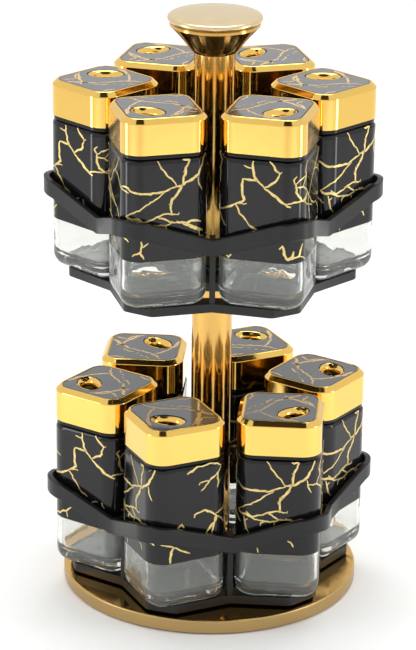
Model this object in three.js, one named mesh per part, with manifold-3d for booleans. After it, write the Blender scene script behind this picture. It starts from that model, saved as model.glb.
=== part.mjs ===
// A revolving spice rack on a round foot: two trays of six square glass jars turn on one post.
// Millimetres, +Z up. The origin is the middle of the underside of the foot.
import * as THREE from 'three';
import * as BufferGeometryUtils from 'three/addons/utils/BufferGeometryUtils.js';
import Module from 'manifold-3d';

const wasm = await Module();
wasm.setup();

// ---------------------------------------------------------------- driving dimensions
const CLEARANCE = 0.3; // air between two pieces that touch
const RUNNING_GAP = 0.5; // radial air between a turning tier and its bush
const SCREW_GAP = 0.4; // radial air around the tie rod

// foot
const FOOT_RADIUS = 92.5;
const FOOT_HEIGHT = 8.4; // of the metal shell, above the pad's exposed edge
const FOOT_SHELL = 2.5;
const FOOT_EDGE = 1.2; // chamfer round the top edge
const PAD_EXPOSED = 0.8; // how far the pad stands out below the shell
const PAD_INNER_RADIUS = 72;
const PAD_THICKNESS = 2;
const BOSS_RADIUS = 13; // of the seat for the tie rod's nut

// post
const POST_RADIUS = 12.5;
const POST_WALL = 1.5;
const ROD_RADIUS = 4;
const NUT_ACROSS_FLATS = 13;
const NUT_HEIGHT = 3.4;
const BUSH_FLANGE = 0.7; // thickness of the washer part that a tier rests on
const BUSH_FLANGE_REACH = 4; // flange radius beyond the bush's barrel
const BUSH_RADIUS = 15.5;

// knob on top of the post
const KNOB_RADIUS = 28.7;
const KNOB_BODY_HEIGHT = 18.4;
const KNOB_NECK_STEP = 0.5; // how far the knob's lower edge stands out from the post
const KNOB_CAP_HEIGHT = 5.2;
const KNOB_SPIGOT_RADIUS = 9;
const KNOB_SPIGOT_LENGTH = 4;
const KNOB_THREAD_DEPTH = 11;

// jars
const JARS_PER_TIER = 6;
const JAR_HALF_WIDTH = 26;
const JAR_CORNER_RADIUS = 12;
const JAR_BODY_HEIGHT = 93.5; // foot to shoulder
const JAR_FOOT_ROUND = 8.6; // radius of the edge round the foot
const JAR_SHOULDER_ROUND = 3;
const JAR_WALL = 2.6;
const JAR_BASE_THICKNESS = 7;
const NECK_WALL = 2.5;

// shaker insert: the black ring under the cap, and the holed disc over the neck
const INSERT_FLANGE_HEIGHT = 2.3;
const INSERT_SETBACK = 0.7; // how far its edge stands behind the jar's side
const INSERT_WALL = 1.8;
const INSERT_DISC = 2;
const SLOT_LENGTH = 10;
const SLOT_WIDTH = 1.8;
const SLOT_PITCH = 3.6;

// caps
const CAP_HEIGHT = 21.6;
const CAP_SKIRT = 1.7;
const CAP_TOP_DEPTH = 4.5; // thickness of the cap's top, down to its inside
const CAP_TO_INSERT = 2.2; // air between the cap's wall and the insert's tube
const CAP_BEVEL = 2.8;
const CAP_PLATE_RIM = 1.0; // width of the metal edge round the plate
const PLATE_RECESS = 1.4;
const OPENING_OFFSET = 11; // middle of the pouring opening from the cap's middle
const OPENING_HALF_LENGTH = 10.8;
const OPENING_HALF_WIDTH = 7.2;
const OPENING_TAPER = 1.8; // how much narrower the opening is at its bottom
const CAP_TURNING_GAP = 2.2; // between neighbouring caps, corner to corner

// tiers: star-shaped tray, hub, upright fins and the rail round the jars
const LOWER_TRAY_Z = 10.5; // underside of the lower tray
const TRAY_PITCH = 191.7; // lower tray to upper tray
const TRAY_THICKNESS = 5.6;
const SEAT_DEPTH = 1; // of the shallow seat that a jar's foot stands in
const SEAT_MARGIN = 3; // seat edge beyond the flat of the jar's foot
const TRAY_LEDGE = 2.1; // tray left outside a seat
const TRAY_TIP_CUT = 13.6; // length cut from each side at a tray tip
const TRAY_HOLE_WIDTH = 21;
const TRAY_HOLE_LENGTH = 26;
const TRAY_HOLE_EDGE = 10.5; // tray left between a hole and the notch
const HUB_WALL = 4;
const HUB_HEIGHT = 9;
const FIN_WIDTH = 3.6;
const FIN_DEPTH = 9;
const RAIL_GAP = 2.4; // air between a jar and the rail
const RAIL_WALL = 3.4;
const RAIL_HEIGHT = 10.3;
const RAIL_BOTTOM_AT_FIN = 38; // above the tray's underside
const RAIL_RISE = 14.5; // how much higher the rail is round a jar's corner

const LOWER_TIER_TURN = 10.5; // degrees, as the lower tier stands at rest
const KNOB_ABOVE_CAPS = 18; // knob's underside above the upper caps

// number of flat sides that stand for a circle
const FOOT_SIDES = 32;
const KNOB_SIDES = 24;
const POST_SIDES = 20;
const ROD_SIDES = 12;
const SQUARE_RING_POINTS = 12; // three at each corner

// ---------------------------------------------------------------- derived sizes
const capReach = (JAR_HALF_WIDTH - JAR_CORNER_RADIUS) * Math.SQRT2 + JAR_CORNER_RADIUS;
const halfSector = Math.PI / JARS_PER_TIER;
const jarCircleRadius = (capReach + CAP_TURNING_GAP / 2) / Math.sin(halfSector);
const hubBore = BUSH_RADIUS + RUNNING_GAP;
const boreRadius = ROD_RADIUS + SCREW_GAP;
const footTop = PAD_EXPOSED + FOOT_HEIGHT;
const upperTrayZ = LOWER_TRAY_Z + TRAY_PITCH;
const jarFootZ = TRAY_THICKNESS - SEAT_DEPTH + CLEARANCE;
const trayHalf = JAR_HALF_WIDTH - JAR_FOOT_ROUND + SEAT_MARGIN + TRAY_LEDGE;

const insertZ = JAR_BODY_HEIGHT + CLEARANCE;
const capZ = insertZ + INSERT_FLANGE_HEIGHT + CLEARANCE;
const capTop = capZ + CAP_HEIGHT;
const capCeiling = capTop - CAP_TOP_DEPTH;
const discTop = capCeiling - CLEARANCE - 0.1;
const discBottom = discTop - INSERT_DISC;
const neckTop = discBottom - CLEARANCE;
const neckRadius = JAR_HALF_WIDTH - CAP_SKIRT - CAP_TO_INSERT - INSERT_WALL - CLEARANCE;
const recessFloor = capTop - PLATE_RECESS;
const plateInset = CAP_BEVEL + CAP_PLATE_RIM;
const upperCapTop = upperTrayZ + jarFootZ + capTop;
const knobZ = upperCapTop + KNOB_ABOVE_CAPS;
const rodTop = knobZ + KNOB_THREAD_DEPTH - 1;

// ---------------------------------------------------------------- helpers
const radians = THREE.MathUtils.degToRad;

// A point at an angle from the front (-Y), turning towards +X.
function around(angle, radius) {
  return new THREE.Vector2(Math.sin(angle) * radius, -Math.cos(angle) * radius);
}

// A square with rounded corners, a corner towards -Y, as three points per corner.
function squareRing(half, cornerRadius) {
  const points = [];
  const toCorner = (half - cornerRadius) * Math.SQRT2;
  for (let corner = 0; corner < 4; corner++) {
    const direction = corner * Math.PI / 2;
    for (const turn of [-Math.PI / 4, 0, Math.PI / 4]) {
      points.push(around(direction, toCorner).add(around(direction + turn, cornerRadius)));
    }
  }
  return points;
}

function jarRing(inset) {
  return squareRing(JAR_HALF_WIDTH - inset, Math.max(JAR_CORNER_RADIUS - inset, 1));
}

// A circle as a ring of points; the first stands half a corner before the front.
function roundRing(radius, count = SQUARE_RING_POINTS, start = -Math.PI / 4) {
  const points = [];
  for (let step = 0; step < count; step++) {
    points.push(around(start + step * 2 * Math.PI / count, radius));
  }
  return points;
}

function ellipseRing(halfLength, halfWidth, centreY, count = SQUARE_RING_POINTS) {
  const points = [];
  for (let step = 0; step < count; step++) {
    const angle = step * 2 * Math.PI / count;
    points.push(new THREE.Vector2(Math.sin(angle) * halfLength, centreY - Math.cos(angle) * halfWidth));
  }
  return points;
}

// A closed body through rings of equal point count, from {ring, z} stations; both ends are
// closed by a fan, or the last ring joins the first when the section itself is closed.
function loft(stations, closedSection = false) {
  const count = stations[0].ring.length;
  const positions = [];
  for (const { ring, z } of stations) {
    for (const point of ring) {
      positions.push(point.x, point.y, z);
    }
  }
  const index = [];
  const spans = closedSection ? stations.length : stations.length - 1;
  for (let station = 0; station < spans; station++) {
    const low = station * count;
    const high = ((station + 1) % stations.length) * count;
    for (let i = 0; i < count; i++) {
      const next = (i + 1) % count;
      index.push(low + i, low + next, high + next);
      index.push(low + i, high + next, high + i);
    }
  }
  if (!closedSection) {
    addFan(positions, index, stations[0], 0, true);
    addFan(positions, index, stations.at(-1), (stations.length - 1) * count, false);
  }
  const geometry = new THREE.BufferGeometry();
  geometry.setAttribute('position', new THREE.Float32BufferAttribute(positions, 3));
  geometry.setIndex(index);
  return geometry;
}

function addFan(positions, index, { ring, z }, first, facingDown) {
  const middle = new THREE.Vector2();
  ring.forEach((point) => middle.addScaledVector(point, 1 / ring.length));
  const hub = positions.length / 3;
  positions.push(middle.x, middle.y, z);
  for (let i = 0; i < ring.length; i++) {
    const next = (i + 1) % ring.length;
    if (facingDown) {
      index.push(hub, first + next, first + i);
    } else {
      index.push(hub, first + i, first + next);
    }
  }
}

function prism(points, bottom, top, holes = []) {
  const shape = new THREE.Shape(points);
  shape.holes = holes.map((hole) => new THREE.Path(hole));
  const geometry = new THREE.ExtrudeGeometry(shape, { depth: top - bottom, bevelEnabled: false });
  return geometry.translate(0, 0, bottom);
}

// A body of revolution about +Z from [radius, z] pairs, closed on the axis or on itself.
function turned(profile, segments) {
  const points = profile.map(([radius, z]) => new THREE.Vector2(radius, z));
  if (points[0].x > 0) {
    points.push(points[0].clone());
  }
  return new THREE.LatheGeometry(points, segments).rotateX(Math.PI / 2);
}

function toSolid(geometry) {
  let plain = geometry.clone();
  plain.deleteAttribute('normal');
  plain.deleteAttribute('uv');
  plain = BufferGeometryUtils.mergeVertices(plain, 1e-4);
  return new wasm.Manifold(new wasm.Mesh({
    numProp: 3,
    vertProperties: new Float32Array(plain.attributes.position.array),
    triVerts: new Uint32Array(plain.index.array),
  }));
}

function toGeometry(solid) {
  const mesh = solid.getMesh();
  const geometry = new THREE.BufferGeometry();
  geometry.setAttribute('position', new THREE.BufferAttribute(mesh.vertProperties, 3));
  geometry.setIndex(new THREE.BufferAttribute(mesh.triVerts, 1));
  return geometry;
}

// ---------------------------------------------------------------- finishes
const finishes = {
  goldPlate: { color: '#e6b455', roughness: 0.12, metalness: 1 },
  brushedGold: { color: '#c3a05e', roughness: 0.38, metalness: 1 },
  blackPlastic: { color: '#333235', roughness: 0.45, metalness: 0 },
  blackRing: { color: '#19191b', roughness: 0.2, metalness: 0 },
  glass: { color: '#cfd8d6', roughness: 0.05, metalness: 0, transparent: true, opacity: 0.4 },
  marblePlate: { color: '#4c4d52', roughness: 0.15, metalness: 0 },
  rubber: { color: '#202022', roughness: 0.85, metalness: 0 },
  steel: { color: '#a8a9ab', roughness: 0.35, metalness: 1 },
};

function piece(name, geometry, finish) {
  const mesh = new THREE.Mesh(geometry, new THREE.MeshStandardMaterial(finishes[finish]));
  mesh.name = name;
  return mesh;
}

// ---------------------------------------------------------------- foot and post
function footShell() {
  const bottom = PAD_EXPOSED;
  const inside = footTop - FOOT_SHELL;
  const padTop = PAD_THICKNESS + CLEARANCE;
  const padSeat = PAD_INNER_RADIUS - CLEARANCE;
  return turned([
    [boreRadius, bottom + NUT_HEIGHT + CLEARANCE],
    [BOSS_RADIUS, bottom + NUT_HEIGHT + CLEARANCE],
    [BOSS_RADIUS, inside],
    [padSeat - FOOT_SHELL, inside],
    [padSeat - FOOT_SHELL, bottom],
    [padSeat, bottom],
    [padSeat, padTop],
    [FOOT_RADIUS - FOOT_SHELL, padTop],
    [FOOT_RADIUS - FOOT_SHELL, bottom],
    [FOOT_RADIUS - FOOT_EDGE / 2, bottom],
    [FOOT_RADIUS, bottom + FOOT_EDGE / 2],
    [FOOT_RADIUS, footTop - FOOT_EDGE],
    [FOOT_RADIUS - FOOT_EDGE, footTop],
    [boreRadius, footTop],
  ], FOOT_SIDES);
}

function footPad() {
  const outer = FOOT_RADIUS - FOOT_SHELL - CLEARANCE;
  return turned([
    [PAD_INNER_RADIUS, 0],
    [outer, 0],
    [outer, PAD_THICKNESS],
    [PAD_INNER_RADIUS, PAD_THICKNESS],
  ], FOOT_SIDES);
}

function rod() {
  return turned([[0, PAD_EXPOSED], [ROD_RADIUS, PAD_EXPOSED], [ROD_RADIUS, rodTop], [0, rodTop]], ROD_SIDES);
}

function nut() {
  const corner = NUT_ACROSS_FLATS / Math.sqrt(3);
  const outline = roundRing(corner, 6, 0);
  return prism(outline, PAD_EXPOSED, PAD_EXPOSED + NUT_HEIGHT, [roundRing(boreRadius, ROD_SIDES)]);
}

// The barrel stands in a tier's bore; the flange under it carries the tier.
function bush(trayZ, seatZ) {
  const flangeTop = trayZ - CLEARANCE;
  const flangeRadius = BUSH_RADIUS + BUSH_FLANGE_REACH;
  const top = trayZ + HUB_HEIGHT + 1;
  const profile = [[boreRadius, seatZ]];
  if (flangeTop - seatZ > BUSH_FLANGE) {
    profile.push([POST_RADIUS, seatZ], [POST_RADIUS, flangeTop - BUSH_FLANGE]);
    profile.push([flangeRadius, flangeTop - BUSH_FLANGE]);
  } else {
    profile.push([flangeRadius, seatZ]);
  }
  profile.push([flangeRadius, flangeTop], [BUSH_RADIUS, flangeTop], [BUSH_RADIUS, top], [boreRadius, top]);
  return turned(profile, POST_SIDES);
}

function tube(bottom, top) {
  const bore = POST_RADIUS - POST_WALL;
  return turned([[bore, bottom], [POST_RADIUS, bottom], [POST_RADIUS, top], [bore, top]], POST_SIDES);
}

// ---------------------------------------------------------------- knob
function knobBody() {
  const neck = POST_RADIUS + KNOB_NECK_STEP;
  const top = knobZ + KNOB_BODY_HEIGHT;
  const socket = KNOB_SPIGOT_RADIUS + CLEARANCE;
  const socketFloor = top - KNOB_SPIGOT_LENGTH - CLEARANCE;
  return turned([
    [0, knobZ + KNOB_THREAD_DEPTH],
    [boreRadius, knobZ + KNOB_THREAD_DEPTH],
    [boreRadius, knobZ],
    [neck, knobZ],
    [neck + 2, knobZ + 1.6],
    [KNOB_RADIUS * 0.68, knobZ + KNOB_BODY_HEIGHT * 0.38],
    [KNOB_RADIUS * 0.87, knobZ + KNOB_BODY_HEIGHT * 0.76],
    [KNOB_RADIUS * 0.96, knobZ + KNOB_BODY_HEIGHT * 0.93],
    [KNOB_RADIUS * 0.96, top],
    [socket, top],
    [socket, socketFloor],
    [0, socketFloor],
  ], KNOB_SIDES);
}

function knobCap() {
  const bottom = knobZ + KNOB_BODY_HEIGHT + CLEARANCE;
  const top = bottom + KNOB_CAP_HEIGHT;
  return turned([
    [0, bottom - KNOB_SPIGOT_LENGTH],
    [KNOB_SPIGOT_RADIUS, bottom - KNOB_SPIGOT_LENGTH],
    [KNOB_SPIGOT_RADIUS, bottom],
    [KNOB_RADIUS * 0.96, bottom],
    [KNOB_RADIUS, bottom + 1.3],
    [KNOB_RADIUS, bottom + 2.2],
    [KNOB_RADIUS * 0.96, bottom + 3.4],
    [KNOB_RADIUS * 0.8, top - 0.8],
    [0, top],
  ], KNOB_SIDES);
}

// ---------------------------------------------------------------- tiers
// Where the sides of two neighbouring squares, each "half" from its jar's middle, meet.
function notchRadius(half) {
  const sideAngle = Math.PI / 4;
  return (jarCircleRadius * Math.cos(sideAngle) + half) / Math.cos(sideAngle - halfSector);
}

// The tray's star outline: a notch and a blunt tip for each jar.
function starOutline(half, tipCut) {
  const points = [];
  const cut = tipCut / Math.SQRT2;
  const tip = jarCircleRadius + half * Math.SQRT2 - cut;
  for (let jar = 0; jar < JARS_PER_TIER; jar++) {
    const angle = 2 * halfSector * (jar + 0.5);
    points.push(around(angle - halfSector, notchRadius(half)));
    points.push(around(angle, tip).add(around(angle - Math.PI / 2, cut)));
    points.push(around(angle, tip).add(around(angle + Math.PI / 2, cut)));
  }
  return points;
}

// The rail is swept round the jars; u runs from 0 at a fin to 1 at a jar's outer corner.
function rail() {
  const inner = [];
  const outer = [];
  const lift = [];
  const innerHalf = JAR_HALF_WIDTH + RAIL_GAP;
  const outerHalf = innerHalf + RAIL_WALL;
  const toCorner = (JAR_HALF_WIDTH - JAR_CORNER_RADIUS) * Math.SQRT2;
  for (let jar = 0; jar < JARS_PER_TIER; jar++) {
    const angle = 2 * halfSector * (jar + 0.5);
    inner.push(around(angle - halfSector, notchRadius(innerHalf)));
    outer.push(around(angle - halfSector, notchRadius(outerHalf)));
    lift.push(0);
    for (const turn of [-45, -22.5, 0, 22.5, 45]) {
      const bend = around(angle, jarCircleRadius + toCorner);
      const direction = angle + radians(turn);
      inner.push(bend.clone().add(around(direction, JAR_CORNER_RADIUS + RAIL_GAP)));
      outer.push(bend.clone().add(around(direction, JAR_CORNER_RADIUS + RAIL_GAP + RAIL_WALL)));
      lift.push(RAIL_RISE * (1 - Math.abs(turn) / 450));
    }
  }
  const geometry = loft([
    { ring: inner, z: 0 },
    { ring: outer, z: 0 },
    { ring: outer, z: RAIL_HEIGHT },
    { ring: inner, z: RAIL_HEIGHT },
  ], true);
  const position = geometry.attributes.position;
  for (let i = 0; i < position.count; i++) {
    position.setZ(i, position.getZ(i) + RAIL_BOTTOM_AT_FIN + lift[i % lift.length]);
  }
  return geometry;
}

// An upright web from the tray's notch to the rail, drawn in the plane of its radius.
function fin(index) {
  const foot = notchRadius(trayHalf) - 0.2;
  const head = notchRadius(JAR_HALF_WIDTH + RAIL_GAP + RAIL_WALL / 2);
  const outline = [
    new THREE.Vector2(foot - FIN_DEPTH, TRAY_THICKNESS / 2),
    new THREE.Vector2(foot, TRAY_THICKNESS / 2),
    new THREE.Vector2(foot, RAIL_BOTTOM_AT_FIN + 1),
    new THREE.Vector2(head, RAIL_BOTTOM_AT_FIN + 1),
    new THREE.Vector2(head, RAIL_BOTTOM_AT_FIN + RAIL_HEIGHT - 1),
    new THREE.Vector2(foot - FIN_DEPTH / 2, RAIL_BOTTOM_AT_FIN + RAIL_HEIGHT - 1),
    new THREE.Vector2(foot - FIN_DEPTH, RAIL_BOTTOM_AT_FIN - 6),
  ];
  const web = prism(outline, -FIN_WIDTH / 2, FIN_WIDTH / 2);
  web.rotateX(Math.PI / 2);
  return web.rotateZ(2 * halfSector * index - Math.PI / 2);
}

function tier() {
  let solid = toSolid(prism(starOutline(trayHalf, TRAY_TIP_CUT), 0, TRAY_THICKNESS));
  const holeOuter = notchRadius(trayHalf) - TRAY_HOLE_EDGE;
  for (let index = 0; index < JARS_PER_TIER; index++) {
    const hole = prism([
      new THREE.Vector2(-TRAY_HOLE_WIDTH / 2, -holeOuter),
      new THREE.Vector2(TRAY_HOLE_WIDTH / 2, -holeOuter),
      new THREE.Vector2(TRAY_HOLE_WIDTH / 2, TRAY_HOLE_LENGTH - holeOuter),
      new THREE.Vector2(-TRAY_HOLE_WIDTH / 2, TRAY_HOLE_LENGTH - holeOuter),
    ], -1, TRAY_THICKNESS + 1);
    solid = solid.subtract(toSolid(hole.rotateZ(2 * halfSector * index)));
    const seat = prism(jarRing(JAR_FOOT_ROUND - SEAT_MARGIN), TRAY_THICKNESS - SEAT_DEPTH, TRAY_THICKNESS + 1);
    seat.translate(0, -jarCircleRadius, 0).rotateZ(2 * halfSector * (index + 0.5));
    solid = solid.subtract(toSolid(seat));
    solid = solid.add(toSolid(fin(index)));
  }
  solid = solid.add(toSolid(rail()));
  solid = solid.add(toSolid(prism(roundRing(hubBore + HUB_WALL, POST_SIDES), 0, HUB_HEIGHT)));
  solid = solid.subtract(toSolid(prism(roundRing(hubBore, POST_SIDES), -1, HUB_HEIGHT + 1)));
  return toGeometry(solid);
}

// ---------------------------------------------------------------- one jar and its lid
function jarGlass() {
  const footStations = [0, 30, 60, 90].map((degrees) => {
    const angle = radians(degrees);
    return {
      ring: jarRing(JAR_FOOT_ROUND * (1 - Math.sin(angle))),
      z: JAR_FOOT_ROUND * (1 - Math.cos(angle)),
    };
  });
  const shoulder = JAR_BODY_HEIGHT - JAR_SHOULDER_ROUND;
  const insideRing = jarRing(JAR_WALL);
  return loft([
    ...footStations,
    { ring: jarRing(0), z: shoulder },
    { ring: jarRing(JAR_SHOULDER_ROUND), z: JAR_BODY_HEIGHT },
    { ring: roundRing(neckRadius), z: JAR_BODY_HEIGHT },
    { ring: roundRing(neckRadius), z: neckTop },
    { ring: roundRing(neckRadius - NECK_WALL), z: neckTop },
    { ring: roundRing(neckRadius - NECK_WALL), z: JAR_BODY_HEIGHT - JAR_WALL },
    { ring: insideRing, z: shoulder - JAR_WALL },
    { ring: insideRing, z: JAR_BASE_THICKNESS + JAR_FOOT_ROUND / 2 },
    { ring: jarRing(JAR_FOOT_ROUND), z: JAR_BASE_THICKNESS },
  ]);
}

function shakerInsert() {
  const hubOuter = neckRadius + CLEARANCE + INSERT_WALL;
  const flange = prism(jarRing(INSERT_SETBACK), insertZ, insertZ + INSERT_FLANGE_HEIGHT);
  let solid = toSolid(flange).add(toSolid(prism(roundRing(hubOuter), insertZ, discTop)));
  solid = solid.subtract(toSolid(prism(roundRing(neckRadius + CLEARANCE), insertZ - 1, discBottom)));
  for (const place of [-1, 0, 1]) {
    const slot = new THREE.BoxGeometry(SLOT_WIDTH, SLOT_LENGTH, 2 * INSERT_DISC);
    slot.translate(place * SLOT_PITCH, -OPENING_OFFSET, discTop - INSERT_DISC / 2);
    solid = solid.subtract(toSolid(slot));
  }
  const halfLength = OPENING_HALF_LENGTH - OPENING_TAPER - 1;
  const halfWidth = OPENING_HALF_WIDTH - OPENING_TAPER;
  const pour = prism(ellipseRing(halfLength, halfWidth, OPENING_OFFSET, 8), discBottom - 1, discTop + 1);
  return toGeometry(solid.subtract(toSolid(pour)));
}

function capShell() {
  const rings = loft([
    { ring: jarRing(0), z: capZ },
    { ring: jarRing(0), z: capTop - CAP_BEVEL },
    { ring: jarRing(CAP_BEVEL), z: capTop },
    { ring: jarRing(plateInset), z: capTop },
    { ring: jarRing(plateInset), z: recessFloor },
  ]);
  let solid = toSolid(rings);
  solid = solid.subtract(toSolid(prism(jarRing(CAP_SKIRT), capZ - 1, capCeiling)));
  const opening = loft([
    {
      ring: ellipseRing(OPENING_HALF_LENGTH - OPENING_TAPER, OPENING_HALF_WIDTH - OPENING_TAPER, -OPENING_OFFSET),
      z: capCeiling - 1,
    },
    { ring: ellipseRing(OPENING_HALF_LENGTH, OPENING_HALF_WIDTH, -OPENING_OFFSET), z: capTop },
  ]);
  return toGeometry(solid.subtract(toSolid(opening)));
}

function capPlate() {
  const outline = jarRing(plateInset + CLEARANCE);
  const rim = CLEARANCE + 0.3;
  const hole = ellipseRing(OPENING_HALF_LENGTH + rim, OPENING_HALF_WIDTH + rim, -OPENING_OFFSET);
  return prism(outline, recessFloor + CLEARANCE, capTop - 0.1, [hole]);
}

// ---------------------------------------------------------------- assembly
// Each place on a tier, its angle from the front, and the lid's turn on each tier in degrees.
const places = [
  { name: 'front_left', angle: -30, lowerLid: 0, upperLid: 0 },
  { name: 'front_right', angle: 30, lowerLid: 0, upperLid: 0 },
  { name: 'right', angle: 90, lowerLid: 0, upperLid: 90 },
  { name: 'back_right', angle: 150, lowerLid: 0, upperLid: 90 },
  { name: 'back_left', angle: -150, lowerLid: -90, upperLid: 0 },
  { name: 'left', angle: -90, lowerLid: 0, upperLid: -90 },
];

const jarShape = jarGlass();
const insertShape = shakerInsert();
const capShape = capShell();
const plateShape = capPlate();
const tierShape = tier();

function jarGroup(tierName, place) {
  const group = new THREE.Group();
  const prefix = `${tierName}_${place.name}`;
  group.add(piece(`${prefix}_jar`, jarShape, 'glass'));
  group.add(piece(`${prefix}_insert`, insertShape, 'blackRing'));
  const lid = new THREE.Group();
  lid.add(piece(`${prefix}_cap`, capShape, 'goldPlate'));
  lid.add(piece(`${prefix}_cap_plate`, plateShape, 'marblePlate'));
  lid.rotation.z = radians(tierName === 'upper' ? place.upperLid : place.lowerLid);
  group.add(lid);
  const spot = around(radians(place.angle), jarCircleRadius);
  group.position.set(spot.x, spot.y, jarFootZ);
  group.rotation.z = radians(place.angle);
  return group;
}

function tierGroup(tierName, z, turn) {
  const group = new THREE.Group();
  group.add(piece(`${tierName}_tier`, tierShape, 'blackPlastic'));
  for (const place of places) {
    group.add(jarGroup(tierName, place));
  }
  group.position.z = z;
  group.rotation.z = radians(turn);
  return group;
}

const lowerTubeBottom = LOWER_TRAY_Z + HUB_HEIGHT + 1 + CLEARANCE;
const lowerTubeTop = upperTrayZ - 4;
const upperTubeBottom = upperTrayZ + HUB_HEIGHT + 1 + CLEARANCE;

const carousel = new THREE.Group();
carousel.add(
  piece('foot_shell', footShell(), 'brushedGold'),
  piece('foot_pad', footPad(), 'rubber'),
  piece('tie_rod', rod(), 'steel'),
  piece('tie_rod_nut', nut(), 'steel'),
  piece('lower_bush', bush(LOWER_TRAY_Z, footTop + CLEARANCE), 'blackPlastic'),
  piece('lower_post_tube', tube(lowerTubeBottom, lowerTubeTop), 'goldPlate'),
  piece('upper_bush', bush(upperTrayZ, lowerTubeTop + CLEARANCE), 'blackPlastic'),
  piece('upper_post_tube', tube(upperTubeBottom, knobZ - CLEARANCE), 'goldPlate'),
  piece('knob_body', knobBody(), 'goldPlate'),
  piece('knob_cap', knobCap(), 'goldPlate'),
  tierGroup('lower', LOWER_TRAY_Z, LOWER_TIER_TURN),
  tierGroup('upper', upperTrayZ, 0),
);

export default carousel;
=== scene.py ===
"""Models the visible surfaces of a two-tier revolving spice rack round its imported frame.

Each operator makes one piece, or one group of like pieces, in metres and in the frame's own place.
"""

import math
import random

import bmesh
import bpy
from bpy.props import FloatProperty, FloatVectorProperty, IntProperty, PointerProperty, StringProperty
from bpy.types import Operator, Panel, PropertyGroup
from mathutils import Matrix, Vector, noise


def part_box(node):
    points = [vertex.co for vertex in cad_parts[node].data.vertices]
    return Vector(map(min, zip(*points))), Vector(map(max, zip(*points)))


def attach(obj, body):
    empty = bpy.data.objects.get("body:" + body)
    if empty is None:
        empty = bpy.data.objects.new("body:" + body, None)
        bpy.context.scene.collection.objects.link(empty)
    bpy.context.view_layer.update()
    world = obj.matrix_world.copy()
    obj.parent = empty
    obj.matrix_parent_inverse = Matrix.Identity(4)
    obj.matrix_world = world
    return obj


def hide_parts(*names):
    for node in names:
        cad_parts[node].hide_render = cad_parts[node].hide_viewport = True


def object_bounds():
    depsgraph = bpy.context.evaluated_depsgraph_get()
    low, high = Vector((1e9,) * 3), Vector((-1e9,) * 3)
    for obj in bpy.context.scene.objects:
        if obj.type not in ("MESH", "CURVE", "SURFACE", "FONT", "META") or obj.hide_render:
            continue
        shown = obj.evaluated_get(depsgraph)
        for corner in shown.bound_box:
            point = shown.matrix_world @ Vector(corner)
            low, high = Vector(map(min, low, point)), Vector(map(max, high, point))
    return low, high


bl_info = {
    "name": "Spice carousel",
    "version": (1, 0, 0),
    "blender": (4, 5, 0),
    "location": "View3D > Sidebar > Carousel",
    "description": "Makes a revolving spice rack with glass jars, gold shaker caps and marbled finishes",
    "category": "Add Mesh",
}

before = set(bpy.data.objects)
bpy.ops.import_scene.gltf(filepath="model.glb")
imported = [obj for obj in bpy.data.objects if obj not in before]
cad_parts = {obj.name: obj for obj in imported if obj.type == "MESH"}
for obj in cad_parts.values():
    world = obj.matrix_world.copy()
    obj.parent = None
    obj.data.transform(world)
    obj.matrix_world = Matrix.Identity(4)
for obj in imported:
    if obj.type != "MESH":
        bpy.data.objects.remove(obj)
cad_low, cad_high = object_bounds()

MM = 0.001
TIERS = ("lower", "upper")
PLACES = ("front_left", "front_right", "right", "back_right", "back_left", "left")
SAME = 1e-6  # nearer than this, two places are the same
CLEARANCE = 0.3 * MM  # air between two pieces that fit together
JARS_PER_TIER = 6
SECTOR = math.radians(360 / JARS_PER_TIER)
HALF_SECTOR = SECTOR / 2
QUARTER_TURN = math.radians(90)
ROUND_STEPS = 96
FOOT_STEPS = 144
CORNER_STEPS = 10
SHARP_ANGLE = math.radians(32)
CAP_SHARP_ANGLE = math.radians(25)
PLATE_DROP = 0.1 * MM  # how far the plates lie below the tops of the caps
PLATE_VEIN_WIDTH = 1.35  # as a share of a like vein on a jar
PLATE_VEIN_SINK = 0.03 * MM
PLATE_SEED = 50
SIDE_SEED = 31


# ---------------------------------------------------------------- settings


def length(name, description, millimetres):
    return FloatProperty(
        name=name, description=description, default=millimetres * MM, unit="LENGTH", subtype="DISTANCE"
    )


def colour(name, description, hex_value):
    return StringProperty(name=name, description=description, default=hex_value)


class JarSizes(PropertyGroup):
    """Sizes of the glass jars."""

    half_width: length("Half width", "Half of the jar's width across its flats", 26)
    corner: length("Corner radius", "Radius of the jar's upright corners", 12)
    foot_round: length("Foot radius", "Radius of the edge round the jar's foot", 8.6)
    shoulder_round: length("Shoulder radius", "Radius of the edge round the shoulder", 3)
    body_height: length("Body height", "From the jar's foot to its shoulder", 93.5)
    wall: length("Wall", "Thickness of the glass sides", 2.6)
    base: length("Base", "Thickness of the glass under the spice", 7)
    neck: length("Neck radius", "Outer radius of the round neck", 20)
    neck_wall: length("Neck wall", "Thickness of the neck", 2.5)
    neck_height: length("Neck height", "Height of the neck above the shoulder", 17.3)
    lacquer_edge: length("Lacquer edge", "Height above the foot where the lacquer ends", 31.3)


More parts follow.
